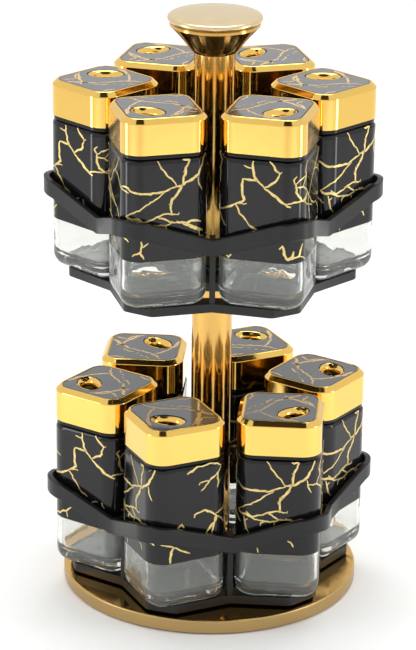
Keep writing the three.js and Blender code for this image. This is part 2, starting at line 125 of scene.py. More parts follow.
class LidSizes(PropertyGroup):
    """Sizes of the shaker inserts, caps and cap plates."""

    flange: length("Insert ring", "Height of the black ring under the cap", 2.3)
    setback: length("Ring setback", "How far the ring stands behind the jar's side", 0.7)
    disc: length("Disc", "Thickness of the holed disc", 2)
    height: length("Cap height", "Height of the cap", 21.6)
    skirt: length("Cap wall", "Thickness of the cap's sides", 1.7)
    bevel: length("Cap bevel", "Width of the sloping edge round the cap's top", 2.8)
    rim: length("Plate rim", "Width of the metal edge round the plate", 1.0)
    recess: length("Plate recess", "Depth of the seat for the plate", 1.4)
    opening_offset: length("Opening offset", "Middle of the opening from the cap's middle", 11)
    opening_length: length("Opening length", "Half of the opening's length", 10.8)
    opening_width: length("Opening width", "Half of the opening's width", 7.2)
    opening_taper: length("Opening taper", "How much narrower the opening is at its bottom", 1.8)
    dish_depth: length("Dish depth", "Depth of the sloping dish round the opening", 3.4)
    dish_end: length("Dish narrowing", "How much the dish narrows the opening all round", 2.2)
    slot_length: length("Slot length", "Length of the shaker slots", 10)
    slot_width: length("Slot width", "Width of the shaker slots", 1.8)
    slot_pitch: length("Slot pitch", "Distance between the shaker slots", 3.6)


class TierSizes(PropertyGroup):
    """Sizes of the two black tiers."""

    tray_half: length("Tray half width", "Half width of a tray's arm under a jar", 22.5)
    tray_thickness: length("Tray thickness", "Thickness of the tray's edge", 5.6)
    tip_cut: length("Tip cut", "Length cut from each side at a tray tip", 13.6)
    seat_depth: length("Seat depth", "Depth of the seat for a jar's foot", 1)
    seat_inset: length("Seat inset", "How far a seat's edge stands inside the jar's side", 5.6)
    hole_width: length("Hole width", "Width of the holes beside the hub", 21)
    hole_length: length("Hole length", "Length of the holes beside the hub", 26)
    hole_edge: length("Hole edge", "Width of tray between a hole and the notch", 10.5)
    hub_bore: length("Hub bore", "Radius of the bore round the bush", 16)
    hub_wall: length("Hub wall", "Thickness of the hub", 4)
    hub_height: length("Hub height", "Height of the hub", 9)
    fin_width: length("Fin width", "Thickness of the upright fins", 3.6)
    fin_depth: length("Fin depth", "Depth of a fin's foot, towards the post", 9)
    rail_gap: length("Rail gap", "Air between a jar and the rail", 2.4)
    rail_wall: length("Rail wall", "Thickness of the rail", 3.4)
    rail_height: length("Rail height", "Height of the rail's band", 10.3)
    rail_low: length("Rail at fin", "Rail's underside above the tray's, at a fin", 38)
    rail_rise: length("Rail rise", "How much higher the rail stands round a jar's corner", 14.5)


class VeinSizes(PropertyGroup):
    """How the printed gold veins are drawn."""

    width: length("Vein width", "Width of a thick vein", 1.25)
    thickness: length("Foil thickness", "How far the foil stands out from the lacquer", 0.09)
    jitter: length("Vein jitter", "How far a vein wanders from its course", 0.45)
    step: length("Vein step", "Distance between a vein's points", 1.6)
    seed: IntProperty(name="Seed", description="Start value of the wandering", default=7)


class FinishColours(PropertyGroup):
    """Colours of the finishes, as sRGB hex values."""

    gold: colour("Gold", "Electroplated gold of the caps", "F7CC6E")
    tube_gold: colour("Tube gold", "Polished gold of the post and knob", "D8AC60")
    champagne: colour("Champagne gold", "Paler gold of the knob's top", "E6CFA4")
    satin_gold: colour("Satin gold", "Brushed gold of the foot's side", "BE9F6B")
    lacquer: colour("Lacquer", "Charcoal lacquer of the jars", "121114")
    vein: colour("Veins", "Gold foil of the veins on the jars", "EFD58C")
    plate: colour("Plate", "Charcoal sheet on the caps", "3E3F44")
    plate_vein: colour("Plate veins", "Gold veins in the plates", "EBC88E")
    plastic: colour("Plastic", "Black plastic of the tiers", "151517")
    ring: colour("Ring", "Glossy black plastic of the inserts", "0E0E10")
    rubber: colour("Rubber", "Anti-slip pad", "161617")
    steel: colour("Steel", "Zinc plated rod and nut", "B9BABD")
    floor: colour("Floor", "Studio floor", "F4F4F3")


SETTINGS = {
    "carousel_jar": JarSizes,
    "carousel_lid": LidSizes,
    "carousel_tier": TierSizes,
    "carousel_vein": VeinSizes,
    "carousel_finish": FinishColours,
}


# ---------------------------------------------------------------- shapes


def around(angle, radius, z=0.0):
    """A point at an angle from the front (-Y), turning towards +X."""
    return Vector((math.sin(angle) * radius, -math.cos(angle) * radius, z))


def edge_loop(bm, points):
    """A closed loop of edges through the points."""
    verts = [bm.verts.new(point) for point in points]
    count = len(verts)
    return [bm.edges.new((verts[i], verts[(i + 1) % count])) for i in range(count)]


def edge_verts(edges):
    return list({vert for edge in edges for vert in edge.verts})


def face_edges(faces):
    return list({edge for face in faces for edge in face.edges})


def boundary(faces):
    """The edges on the rim of a set of faces."""
    chosen = set(faces)
    return [edge for edge in face_edges(faces) if len([f for f in edge.link_faces if f in chosen]) == 1]


def square_face(bm, half, corner, z):
    """A flat face with rounded corners, one corner towards -Y."""
    made = bmesh.ops.create_grid(bm, x_segments=1, y_segments=1, size=half)["verts"]
    bmesh.ops.bevel(
        bm,
        geom=made,
        offset=corner,
        offset_type="OFFSET",
        segments=CORNER_STEPS,
        profile=0.5,
        affect="VERTICES",
        material=-1,
    )
    face = max((f for f in bm.faces if all(len(e.link_faces) == 1 for e in f.edges)), key=lambda f: f.index)
    turn = Matrix.Rotation(math.radians(45), 3, "Z")
    bmesh.ops.rotate(bm, verts=face.verts, cent=(0, 0, 0), matrix=turn)
    bmesh.ops.translate(bm, verts=face.verts, vec=(0, 0, z))
    return face


def raise_faces(bm, faces, height):
    """Extrudes flat faces by a height and returns the far faces."""
    made = bmesh.ops.extrude_face_region(bm, geom=faces + face_edges(faces))["geom"]
    bmesh.ops.translate(bm, verts=[g for g in made if isinstance(g, bmesh.types.BMVert)], vec=(0, 0, height))
    return [g for g in made if isinstance(g, bmesh.types.BMFace)]


def inset_face(bm, face, thickness, depth=0.0):
    """Insets one face in place; the face itself stays the inner one."""
    bmesh.ops.inset_region(
        bm, faces=[face], thickness=thickness, depth=depth, use_even_offset=True, use_boundary=True
    )
    return face


def extend_loop(bm, edges, move=(0, 0, 0), scale=None, centre=(0, 0, 0)):
    """Extrudes a loop of edges, moves it and scales it about a centre; returns the new loop."""
    made = bmesh.ops.extrude_edge_only(bm, edges=edges)["geom"]
    verts = [g for g in made if isinstance(g, bmesh.types.BMVert)]
    if scale:
        bmesh.ops.scale(bm, verts=verts, vec=scale, space=Matrix.Translation(-Vector(centre)))
    bmesh.ops.translate(bm, verts=verts, vec=move)
    return [g for g in made if isinstance(g, bmesh.types.BMEdge) and all(v in verts for v in g.verts)]


def round_edges(bm, edges, radius, segments):
    return bmesh.ops.bevel(
        bm,
        geom=edges,
        offset=radius,
        offset_type="OFFSET",
        segments=segments,
        profile=0.5,
        affect="EDGES",
        material=-1,
        clamp_overlap=True,
    )["faces"]


def turn_profile(bm, profile, steps=ROUND_STEPS):
    """Spins a line of (radius, z) points once round the post's axis and closes the poles."""
    verts = [bm.verts.new((radius, 0, z)) for radius, z in profile]
    edges = [bm.edges.new(pair) for pair in zip(verts, verts[1:])]
    if profile[0][0] > 0:
        edges.append(bm.edges.new((verts[-1], verts[0])))
    bmesh.ops.spin(
        bm,
        geom=verts + edges,
        cent=(0, 0, 0),
        axis=(0, 0, 1),
        angle=math.tau,
        steps=steps,
        use_merge=True,
    )
    bmesh.ops.remove_doubles(bm, verts=bm.verts, dist=SAME)


def sweep(bm, sections, closed):
    """Extrudes a loop of points through a row of places; each section lists the loop's points there."""
    first = edge_loop(bm, sections[0])
    loop = first
    ring = [next(iter(set(loop[i - 1].verts) & set(loop[i].verts))) for i in range(len(loop))]
    for section in sections[1:]:
        made = bmesh.ops.extrude_edge_only(bm, edges=loop)["geom"]
        fresh = {g for g in made if isinstance(g, bmesh.types.BMVert)}
        ring = [next(e.other_vert(v) for e in v.link_edges if e.other_vert(v) in fresh) for v in ring]
        for vert, place in zip(ring, section):
            vert.co = place
        loop = [bm.edges.get((ring[i - 1], ring[i])) for i in range(len(ring))]
    if closed:
        bmesh.ops.bridge_loops(bm, edges=first + loop)
    else:
        bmesh.ops.contextual_create(bm, geom=first)
        bmesh.ops.contextual_create(bm, geom=loop)


def fill_flat(bm, edges):
    """Fills flat loops of edges, with inner loops left as holes; returns the faces."""
    made = bmesh.ops.triangle_fill(bm, use_beauty=True, use_dissolve=False, edges=edges)["geom"]
    return [g for g in made if isinstance(g, bmesh.types.BMFace)]


def face_outwards(bm):
    bmesh.ops.recalc_face_normals(bm, faces=bm.faces)


def sharp_edges(bm, least=math.radians(50)):
    return [e for e in bm.edges if len(e.link_faces) == 2 and e.calc_face_angle(0) > least]


def ellipse_points(half_length, half_width, offset, z, steps=48):
    """An oval whose long side lies along X, its middle "offset" from the axis towards -Y."""
    points = []
    for step in range(steps):
        angle = math.tau * step / steps
        points.append((math.cos(angle) * half_length, math.sin(angle) * half_width - offset, z))
    return points


def circle_points(radius, z, steps=ROUND_STEPS):
    return ellipse_points(radius, radius, 0, z, steps)


def finish_piece(name, bm, materials, body, nodes, place=None, smooth=SHARP_ANGLE):
    """Turns a bmesh into a piece that rides on a body and stands for its frame nodes."""
    if place is not None:
        bmesh.ops.transform(bm, matrix=place, verts=bm.verts)
    mesh = bpy.data.meshes.new(name)
    bm.to_mesh(mesh)
    bm.free()
    return place_mesh(name, mesh, materials, body, nodes, smooth)


def place_mesh(name, mesh, materials, body, nodes, smooth=SHARP_ANGLE):
    for material in materials:
        mesh.materials.append(material)
    mesh.shade_smooth()
    mesh.set_sharp_from_angle(angle=smooth)
    piece = bpy.data.objects.new(name, mesh)
    bpy.context.scene.collection.objects.link(piece)
    weighted = piece.modifiers.new("Even shading", "WEIGHTED_NORMAL")
    weighted.mode = "FACE_AREA"
    weighted.weight = 100
    weighted.keep_sharp = True
    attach(piece, body)
    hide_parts(*nodes)
    return piece


# ---------------------------------------------------------------- places from the frame


def node_centre(node):
    low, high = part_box(node)
    return (low + high) / 2


def each_jar():
    """Every jar's tier and place."""
    return [(tier, spot) for tier in TIERS for spot in PLACES]


def tray_z(tier):
    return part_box(f"{tier}_tier")[0].z


def jar_place(tier, spot):
    """Where a jar stands: its foot's middle, with one corner turned outwards."""
    node = f"{tier}_{spot}_jar"
    middle = node_centre(node)
    angle = math.atan2(middle.x, -middle.y)
    return Matrix.Translation((middle.x, middle.y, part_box(node)[0].z)) @ Matrix.Rotation(angle, 4, "Z")


def tier_place(tier):
    """The tier's own turn, read from where its front jars stand."""
    middle = node_centre(f"{tier}_front_right_jar")
    angle = math.atan2(middle.x, -middle.y) - HALF_SECTOR
    return Matrix.Translation((0, 0, tray_z(tier))) @ Matrix.Rotation(angle, 4, "Z")


def lid_turn(tier, spot):
    """The cap's quarter turn, read from which of its four corners the plate's opening is nearest."""
    place = jar_place(tier, spot)
    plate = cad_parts[f"{tier}_{spot}_cap_plate"].data
    inverse = place.inverted()
    inner = [inverse @ v.co for v in plate.vertices]
    reach = max(math.hypot(p.x, p.y) for p in inner)
    hole = [p for p in inner if math.hypot(p.x, p.y) < reach * 0.62]
    middle = sum(hole, Vector()) / len(hole)
    angle = math.atan2(middle.x, -middle.y)
    return Matrix.Rotation(round(angle / QUARTER_TURN) * QUARTER_TURN, 4, "Z")


def jar_circle_radius():
    middle = node_centre("upper_right_jar")
    return math.hypot(middle.x, middle.y)


# ---------------------------------------------------------------- materials


def linear(hex_value, alpha=1.0):
    """An sRGB hex value as linear RGBA."""
    channels = [int(hex_value[i : i + 2], 16) / 255 for i in (0, 2, 4)]
    return (*[c / 12.92 if c <= 0.04045 else ((c + 0.055) / 1.055) ** 2.4 for c in channels], alpha)


def add_node(tree, kind, settings=(), links=()):
    """Adds a shader node, sets its properties and inputs, and links (output, input name) pairs."""
    node = tree.nodes.new(kind)
    for name, value in dict(settings).items():
        if name in node.inputs:
            node.inputs[name].default_value = value
        else:
            setattr(node, name, value)
    for output, name in links:
        tree.links.new(output, node.inputs[name])
    return node


def new_material(name, settings):
    """A material with one Principled shader and its Object coordinates."""
    material = bpy.data.materials.new(name)
    material.use_nodes = True
    tree = material.node_tree
    tree.nodes.clear()
    shader = add_node(tree, "ShaderNodeBsdfPrincipled", settings)
    output = add_node(tree, "ShaderNodeOutputMaterial", links=[(shader.outputs["BSDF"], "Surface")])
    coordinates = add_node(tree, "ShaderNodeTexCoord").outputs["Object"]
    return material, tree, shader, output, coordinates


def waves_per_metre(size):
    """A noise texture's scale for features about "size" metres across."""
    return 1.0 / size


def add_noise(tree, coordinates, size, detail, roughness=0.5):
    """Noise whose features are about "size" metres across; returns its value."""
    settings = {"Scale": waves_per_metre(size), "Detail": detail, "Roughness": roughness}
    return add_node(tree, "ShaderNodeTexNoise", settings, [(coordinates, "Vector")]).outputs["Fac"]


def add_range(tree, value, low, high, to_low=0.0, to_high=1.0):
    """Maps a value between low and high to one between to_low and to_high."""
    settings = {"From Min": low, "From Max": high, "To Min": to_low, "To Max": to_high}
    return add_node(tree, "ShaderNodeMapRange", settings, [(value, "Value")]).outputs["Result"]


def add_tones(tree, value, low, low_tone, high, high_tone):
    """Blends from one tone at a low value to another at a high one."""
    ramp = add_node(tree, "ShaderNodeValToRGB", links=[(value, "Fac")])
    first, last = ramp.color_ramp.elements
    first.position, first.color = low, low_tone
    last.position, last.color = high, high_tone
    return ramp.outputs["Color"]


def shade(tone, share):
    """A tone made darker or lighter."""
    return (*[channel * share for channel in tone[:3]], 1)


def add_bump(tree, shader, height, depth, strength=1.0):
    bump = add_node(
        tree, "ShaderNodeBump", {"Strength": strength, "Distance": depth}, [(height, "Height")]
    )
    tree.links.new(bump.outputs["Normal"], shader.inputs["Normal"])


def electroplated_gold(name, colour_hex, roughness):
    """Gold plate on moulded plastic: a bright mirror with the faint long waves of the moulding under it."""
    material, tree, shader, _, coordinates = new_material(
        name, {"Base Color": linear(colour_hex), "Metallic": 1.0, "Roughness": roughness}
    )
    waves = add_noise(tree, coordinates, 14 * MM, 1.0, 0.4)
    add_bump(tree, shader, waves, 0.12 * MM, 0.6)
    smudge = add_noise(tree, coordinates, 9 * MM, 4.0, 0.6)
    dulling = add_range(tree, smudge, 0.35, 0.75, roughness * 0.85, roughness * 1.3)
    tree.links.new(dulling, shader.inputs["Roughness"])
    return material


def spun_satin_gold(name, colour_hex):
    """Gold-lacquered spun metal: fine turning lines run round the foot and spread its highlights."""
    material, tree, shader, _, coordinates = new_material(
        name, {"Base Color": linear(colour_hex), "Metallic": 1.0, "Roughness": 0.36}
    )
    # Lines 0.25 mm apart up the side are too fine to show, so they are drawn 0.8 mm apart.
    lines = add_node(
        tree,
        "ShaderNodeMapping",
        {"Scale": (4.0, 4.0, waves_per_metre(0.8 * MM))},
        [(coordinates, "Vector")],
    )
    # The mapping already sets the size, so the noise keeps a scale of one.
    grain = add_noise(tree, lines.outputs[0], 1.0, 3.0, 0.7)
    add_bump(tree, shader, grain, 0.03 * MM, 0.5)
    spread = add_range(tree, grain, 0.3, 0.7, 0.3, 0.44)
    tree.links.new(spread, shader.inputs["Roughness"])
    return material


def moulded_satin_plastic(name, colour_hex, roughness, grain_depth, shine):
    """Injection-moulded ABS with a fine spark-eroded grain: a soft grey sheen on its edges."""
    settings = {
        "Base Color": linear(colour_hex),
        "Roughness": roughness,
        "IOR": 1.53,
        "Specular IOR Level": shine,
    }
    material, tree, shader, _, coordinates = new_material(name, settings)
    # The real grain is about 0.1 mm; 0.35 mm is the finest that shows.
    grain = add_noise(tree, coordinates, 0.35 * MM, 2.0, 0.6)
    add_bump(tree, shader, grain, grain_depth, 0.5)
    flow = add_noise(tree, coordinates, 30 * MM, 2.0)
    sheen = add_range(tree, flow, 0.3, 0.7, roughness * 0.9, roughness * 1.15)
    tree.links.new(sheen, shader.inputs["Roughness"])
    return material


def sprayed_lacquer(name, colour_hex):
    """Charcoal lacquer sprayed on glass: deep, glossy, with the slight waviness of a pressed jar."""
    material, tree, shader, _, coordinates = new_material(
        name, {"Base Color": linear(colour_hex), "Roughness": 0.09, "IOR": 1.5, "Specular IOR Level": 0.4}
    )
    waves = add_noise(tree, coordinates, 18 * MM, 1.0, 0.4)
    add_bump(tree, shader, waves, 0.12 * MM, 0.6)
    return material


def pressed_glass(name):
    """Clear soda-lime glass: bright edges, and a green cast where the light passes through its thick base."""
    material, tree, shader, output, coordinates = new_material(
        name, {"Base Color": linear("F8F9F6"), "Roughness": 0.0, "IOR": 1.52, "Transmission Weight": 0.955}
    )
    waves = add_noise(tree, coordinates, 15 * MM, 2.0, 0.5)
    add_bump(tree, shader, waves, 0.9 * MM, 0.7)
    # Lamps shine through the glass, so that what stands behind it isn't left dark.
    clear = add_node(tree, "ShaderNodeBsdfTransparent", {"Color": linear("E9F3EF")})
    ray = add_node(tree, "ShaderNodeLightPath")
    mixed = add_node(tree, "ShaderNodeMixShader", links=[(ray.outputs["Is Shadow Ray"], "Fac")])
    tree.links.new(shader.outputs["BSDF"], mixed.inputs[1])
    tree.links.new(clear.outputs["BSDF"], mixed.inputs[2])
    tree.links.new(mixed.outputs[0], output.inputs["Surface"])
    return material


def gold_foil(name, colour_hex):
    """Hot-stamped foil: a pale satin gold whose tone breaks up slightly along each vein."""
    material, tree, shader, _, coordinates = new_material(name, {"Metallic": 0.75, "Roughness": 0.34})
    patches = add_noise(tree, coordinates, 3 * MM, 3.0, 0.6)
    bright = linear(colour_hex)
    tones = add_tones(tree, patches, 0.3, shade(bright, 0.72), 0.62, bright)
    tree.links.new(tones, shader.inputs["Base Color"])
    return material


def printed_sheet(name, colour_hex):
    """Charcoal acrylic sheet printed on its back: a glassy face over a faintly clouded stone print."""
    material, tree, shader, _, coordinates = new_material(
        name, {"Roughness": 0.1, "IOR": 1.49, "Coat Weight": 0.5, "Coat Roughness": 0.03}
    )
    clouds = add_noise(tree, coordinates, 12 * MM, 5.0, 0.6)
    base = linear(colour_hex)
    tones = add_tones(tree, clouds, 0.35, shade(base, 0.75), 0.7, shade(base, 1.25))
    tree.links.new(tones, shader.inputs["Base Color"])
    return material


def zinc_plated_steel(name, colour_hex):
    """Zinc-plated steel: a cool grey metal with a soft, slightly uneven shine."""
    material, tree, shader, _, coordinates = new_material(
        name, {"Base Color": linear(colour_hex), "Metallic": 1.0, "Roughness": 0.35}
    )
    patches = add_noise(tree, coordinates, 4 * MM, 3.0)
    add_bump(tree, shader, patches, 0.02 * MM, 0.5)
    return material


def studio_paper(name, colour_hex):
    """Seamless background paper: matt and nearly white."""
    material, *_ = new_material(name, {"Base Color": linear(colour_hex), "Roughness": 0.9})
    return material


def finish(kind):
    """The finish of that kind, made once."""
    colours = bpy.context.scene.carousel_finish
    makers = {
        "electroplated_gold": lambda n: electroplated_gold(n, colours.gold, 0.09),
        "polished_gold_tube": lambda n: electroplated_gold(n, colours.tube_gold, 0.13),
        "champagne_gold": lambda n: electroplated_gold(n, colours.champagne, 0.22),
        "spun_satin_gold": lambda n: spun_satin_gold(n, colours.satin_gold),
        "satin_abs": lambda n: moulded_satin_plastic(n, colours.plastic, 0.34, 0.02 * MM, 0.36),
        "gloss_abs": lambda n: moulded_satin_plastic(n, colours.ring, 0.2, 0.004 * MM, 0.25),
        "rubber": lambda n: moulded_satin_plastic(n, colours.rubber, 0.8, 0.06 * MM, 0.5),
        "charcoal_lacquer": lambda n: sprayed_lacquer(n, colours.lacquer),
        "soda_lime_glass": pressed_glass,
        "vein_foil": lambda n: gold_foil(n, colours.vein),
        "plate_vein_foil": lambda n: gold_foil(n, colours.plate_vein),
        "printed_acrylic": lambda n: printed_sheet(n, colours.plate),
        "zinc_plated_steel": lambda n: zinc_plated_steel(n, colours.steel),
        "studio_paper": lambda n: studio_paper(n, colours.floor),
    }
    return bpy.data.materials.get(kind) or makers[kind](kind)


# ---------------------------------------------------------------- foot, post and knob


class CAROUSEL_OT_foot(Operator):
    """Makes the round foot and its anti-slip pad."""

    bl_idname = "carousel.foot"
    bl_label = "Foot"

    def execute(self, context):
        low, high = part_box("foot_shell")
        radius = high.x
        pad_low, pad_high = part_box("foot_pad")
        seat = 71.7 * MM
        shell = 2.5 * MM
        bore = 4.4 * MM
        pocket, pocket_floor = 13 * MM, low.z + 3.7 * MM
        bm = bmesh.new()
        turn_profile(
            bm,
            [
                (bore, pocket_floor),
                (pocket, pocket_floor),
                (pocket, high.z - shell),
                (seat - shell, high.z - shell),
                (seat - shell, low.z),
                (seat, low.z),
                (seat, pad_high.z + CLEARANCE),
                (radius - shell, pad_high.z + CLEARANCE),
                (radius - shell, low.z),
                (radius, low.z),
                (radius, high.z),
                (bore, high.z),
            ],
            steps=FOOT_STEPS,
        )
        rim = [e for e in bm.edges if all(v.co.xy.length > radius - 1e-5 for v in e.verts)]
        top_rim = [e for e in rim if all(v.co.z > high.z - 1e-5 for v in e.verts)]
        low_rim = [e for e in rim if all(v.co.z < low.z + 1e-5 for v in e.verts)]
        round_edges(bm, top_rim, 1.0 * MM, 4)
        round_edges(bm, low_rim, 0.6 * MM, 3)
        face_outwards(bm)
        for face in bm.faces:
            if face.normal.z > 0.6 and face.calc_center_median().z > high.z - 1.0 * MM:
                face.material_index = 1
        materials = [finish("spun_satin_gold"), finish("polished_gold_tube")]
        finish_piece("foot_shell_fine", bm, materials, "stand", ["foot_shell"])

        inside = seat + CLEARANCE
        ring = [
            (inside, pad_low.z),
            (pad_high.x, pad_low.z),
            (pad_high.x, pad_high.z),
            (inside, pad_high.z),
        ]
        bm = bmesh.new()
        turn_profile(bm, ring, steps=FOOT_STEPS)
        face_outwards(bm)
        round_edges(bm, sharp_edges(bm), 0.3 * MM, 2)
        finish_piece("foot_pad_fine", bm, [finish("rubber")], "stand", ["foot_pad"])
        return {"FINISHED"}


class CAROUSEL_OT_post(Operator):
    """Makes the post's two tubes and finishes the rod, nut and bushes."""

    bl_idname = "carousel.post"
    bl_label = "Post"

    def execute(self, context):
        tube_wall = 1.5 * MM
        for node in ("lower_post_tube", "upper_post_tube"):
            low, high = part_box(node)
            bm = bmesh.new()
            bore = high.x - tube_wall
            turn_profile(bm, [(bore, low.z), (high.x, low.z), (high.x, high.z), (bore, high.z)])
            face_outwards(bm)
            round_edges(bm, sharp_edges(bm), 0.25 * MM, 2)
            finish_piece(f"{node}_fine", bm, [finish("polished_gold_tube")], "stand", [node])
        for node, kind in (
            ("tie_rod", "zinc_plated_steel"),
            ("tie_rod_nut", "zinc_plated_steel"),
            ("lower_bush", "satin_abs"),
            ("upper_bush", "satin_abs"),
        ):
            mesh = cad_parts[node].data
            mesh.materials.clear()
            mesh.materials.append(finish(kind))
        return {"FINISHED"}


class CAROUSEL_OT_knob(Operator):
    """Makes the flared knob and its domed top."""

    bl_idname = "carousel.knob"
    bl_label = "Knob"

    def execute(self, context):
        low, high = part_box("knob_body")
        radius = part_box("knob_cap")[1].x
        height = high.z - low.z
        neck = 13 * MM
        under_lip, band = radius * 0.945, radius * 0.96
        spigot, spigot_length = 9 * MM, 4 * MM
        socket, socket_floor = spigot + CLEARANCE, height - spigot_length - CLEARANCE
        thread, thread_top = 4.4 * MM, 11 * MM
        flare = [(neck, 0.0), (neck + 1.1 * MM, 0.5 * MM), (neck + 2.2 * MM, 1.9 * MM)]
        # The side opens out slowly at first, then nearly straight up to the ring under the lip.
        steps = 14
        start = flare[-1]
        end = (under_lip, height - 2.3 * MM)
        for step in range(1, steps + 1):
            share = step / steps
            z = start[1] + (end[1] - start[1]) * share
            out = start[0] + (end[0] - start[0]) * (0.82 * share + 0.18 * share * share)
            flare.append((out, z))
        ring = [(band, height - 1.9 * MM), (band, height - 0.5 * MM), (under_lip, height)]
        profile = [(0, thread_top), (thread, thread_top), (thread, 0)]
        profile += flare + ring
        profile += [(socket, height), (socket, socket_floor), (0, socket_floor)]
        bm = bmesh.new()
        turn_profile(bm, [(r, z + low.z) for r, z in profile])
        face_outwards(bm)
        materials = [finish("polished_gold_tube")]
        finish_piece("knob_body_fine", bm, materials, "stand", ["knob_body"])

        low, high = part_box("knob_cap")
        base = low.z + spigot_length
        rise = high.z - base
        lip = 1.9 * MM
        profile = [(0, low.z), (spigot, low.z), (spigot, base), (radius - lip, base)]
        lip_steps, lip_turn = 10, 160
        for step in range(1, lip_steps + 1):
            angle = math.radians(-90 + lip_turn * step / lip_steps)
            profile.append((radius - lip + lip * math.cos(angle), base + lip + lip * math.sin(angle)))
        edge = profile[-1]
        # From the lip the top rises quickly, then lies almost flat.
        crown = 16
        for step in range(1, crown + 1):
            share = step / crown
            height = 1 - (1 - share) ** 3
            profile.append((edge[0] * (1 - share), edge[1] + (base + rise - edge[1]) * height))
        bm = bmesh.new()
        turn_profile(bm, profile)
        face_outwards(bm)
        finish_piece("knob_cap_fine", bm, [finish("champagne_gold")], "stand", ["knob_cap"])
        return {"FINISHED"}


# ---------------------------------------------------------------- tiers


def notch_radius(half):
    """How far from the post the sides of two neighbouring squares meet."""
    side = math.radians(45)
    return (jar_circle_radius() * math.cos(side) + half) / math.cos(side - HALF_SECTOR)


def star_points(half, cut):
    """The tray's star outline: a notch and a blunt tip for each jar."""
    points = []
    drop = cut / math.sqrt(2)
    tip = jar_circle_radius() + half * math.sqrt(2) - drop
    for jar in range(JARS_PER_TIER):
        angle = SECTOR * jar + HALF_SECTOR
        across = around(angle + QUARTER_TURN, drop)
        points.append(around(angle - HALF_SECTOR, notch_radius(half)))
        points.append(around(angle, tip) - across)
        points.append(around(angle, tip) + across)
    return points


def rail_sections(sizes, jar):
    """The rail's cross-sections, once round the tier."""
    inner_half = jar.half_width + sizes.rail_gap
    outer_half = inner_half + sizes.rail_wall
    to_corner = (jar.half_width - jar.corner) * math.sqrt(2)
    inner_bend = jar.corner + sizes.rail_gap
    crown = 0.45 * MM
    sections = []

    def section(inner, outer, lift):
        low = sizes.rail_low + lift
        high = low + sizes.rail_height
        out = (outer - inner).normalized()
        places = [
            inner + Vector((0, 0, low + crown)),
            inner + out * crown + Vector((0, 0, low)),
            outer - out * crown + Vector((0, 0, low)),
            outer + Vector((0, 0, low + crown)),
            outer + Vector((0, 0, high - crown)),
            outer - out * crown + Vector((0, 0, high)),
            inner + out * crown + Vector((0, 0, high)),
            inner + Vector((0, 0, high - crown)),
        ]
        sections.append(places)

    bend_steps = 12
    side_steps = 4
    for place in range(JARS_PER_TIER):
        angle = SECTOR * place + HALF_SECTOR
        middle = around(angle, jar_circle_radius() + to_corner)
        notch_in = around(angle - HALF_SECTOR, notch_radius(inner_half))
        notch_out = around(angle - HALF_SECTOR, notch_radius(outer_half))
        next_in = around(angle + HALF_SECTOR, notch_radius(inner_half))
        next_out = around(angle + HALF_SECTOR, notch_radius(outer_half))
        bend = []
        for step in range(bend_steps + 1):
            turn = math.radians(-45 + 90 * step / bend_steps)
            direction = around(angle + turn, 1.0)
            share = 1 - abs(turn) / math.radians(450)
            bend.append(
                (
                    middle + direction * inner_bend,
                    middle + direction * (inner_bend + sizes.rail_wall),
                    sizes.rail_rise * share,
                )
            )
        section(notch_in, notch_out, 0.0)
        for step in range(1, side_steps):
            share = step / side_steps
            inner, outer, lift = bend[0]
            section(notch_in.lerp(inner, share), notch_out.lerp(outer, share), lift * share)
        for inner, outer, lift in bend:
            section(inner, outer, lift)
        for step in range(1, side_steps):
            share = step / side_steps
            inner, outer, lift = bend[-1]
            section(inner.lerp(next_in, share), outer.lerp(next_out, share), lift * (1 - share))
    return sections


def add_fin(bm, sizes, index):
    """An upright web from the tray's notch up to the rail."""
    foot = notch_radius(sizes.tray_half) - 0.2 * MM
    jar = bpy.context.scene.carousel_jar
    head = notch_radius(jar.half_width + sizes.rail_gap + sizes.rail_wall / 2)
    top = sizes.rail_low + sizes.rail_height - 1 * MM
    inside = foot - sizes.fin_depth
    outline = [
        (inside, sizes.tray_thickness / 2),
        (foot, sizes.tray_thickness / 2),
        (foot, sizes.rail_low + 1 * MM),
        (head, sizes.rail_low + 1 * MM),
        (head, top),
        (foot - sizes.fin_depth / 2, top),
        (inside, sizes.rail_low - 6 * MM),
    ]
    part = bmesh.new()
    half = sizes.fin_width / 2
    face = fill_flat(part, edge_loop(part, [(-half, -radius, z) for radius, z in outline]))
    made = bmesh.ops.extrude_face_region(part, geom=face + face_edges(face))["geom"]
    moved = [g for g in made if isinstance(g, bmesh.types.BMVert)]
    bmesh.ops.translate(part, verts=moved, vec=(sizes.fin_width, 0, 0))
    face_outwards(part)
    round_edges(part, sharp_edges(part, math.radians(80)), 0.4 * MM, 2)
    bmesh.ops.rotate(
        part, verts=part.verts, cent=(0, 0, 0), matrix=Matrix.Rotation(math.radians(60 * index), 3, "Z")
    )
    join(bm, part)


def join(bm, part):
    """Adds another bmesh's geometry to this one."""
    mesh = bpy.data.meshes.new("part")
    part.to_mesh(mesh)
    part.free()
    bm.from_mesh(mesh)
    bpy.data.meshes.remove(mesh)


def prism(points, low, high):
    """A bmesh of a flat outline raised from low to high."""
    bm = bmesh.new()
    faces = fill_flat(bm, edge_loop(bm, [(p[0], p[1], low) for p in points]))
    raise_faces(bm, faces, high - low)
    face_outwards(bm)
    return bm


def as_object(bm, name):
    mesh = bpy.data.meshes.new(name)
    bm.to_mesh(mesh)
    bm.free()
    made = bpy.data.objects.new(name, mesh)
    bpy.context.scene.collection.objects.link(made)
    return made


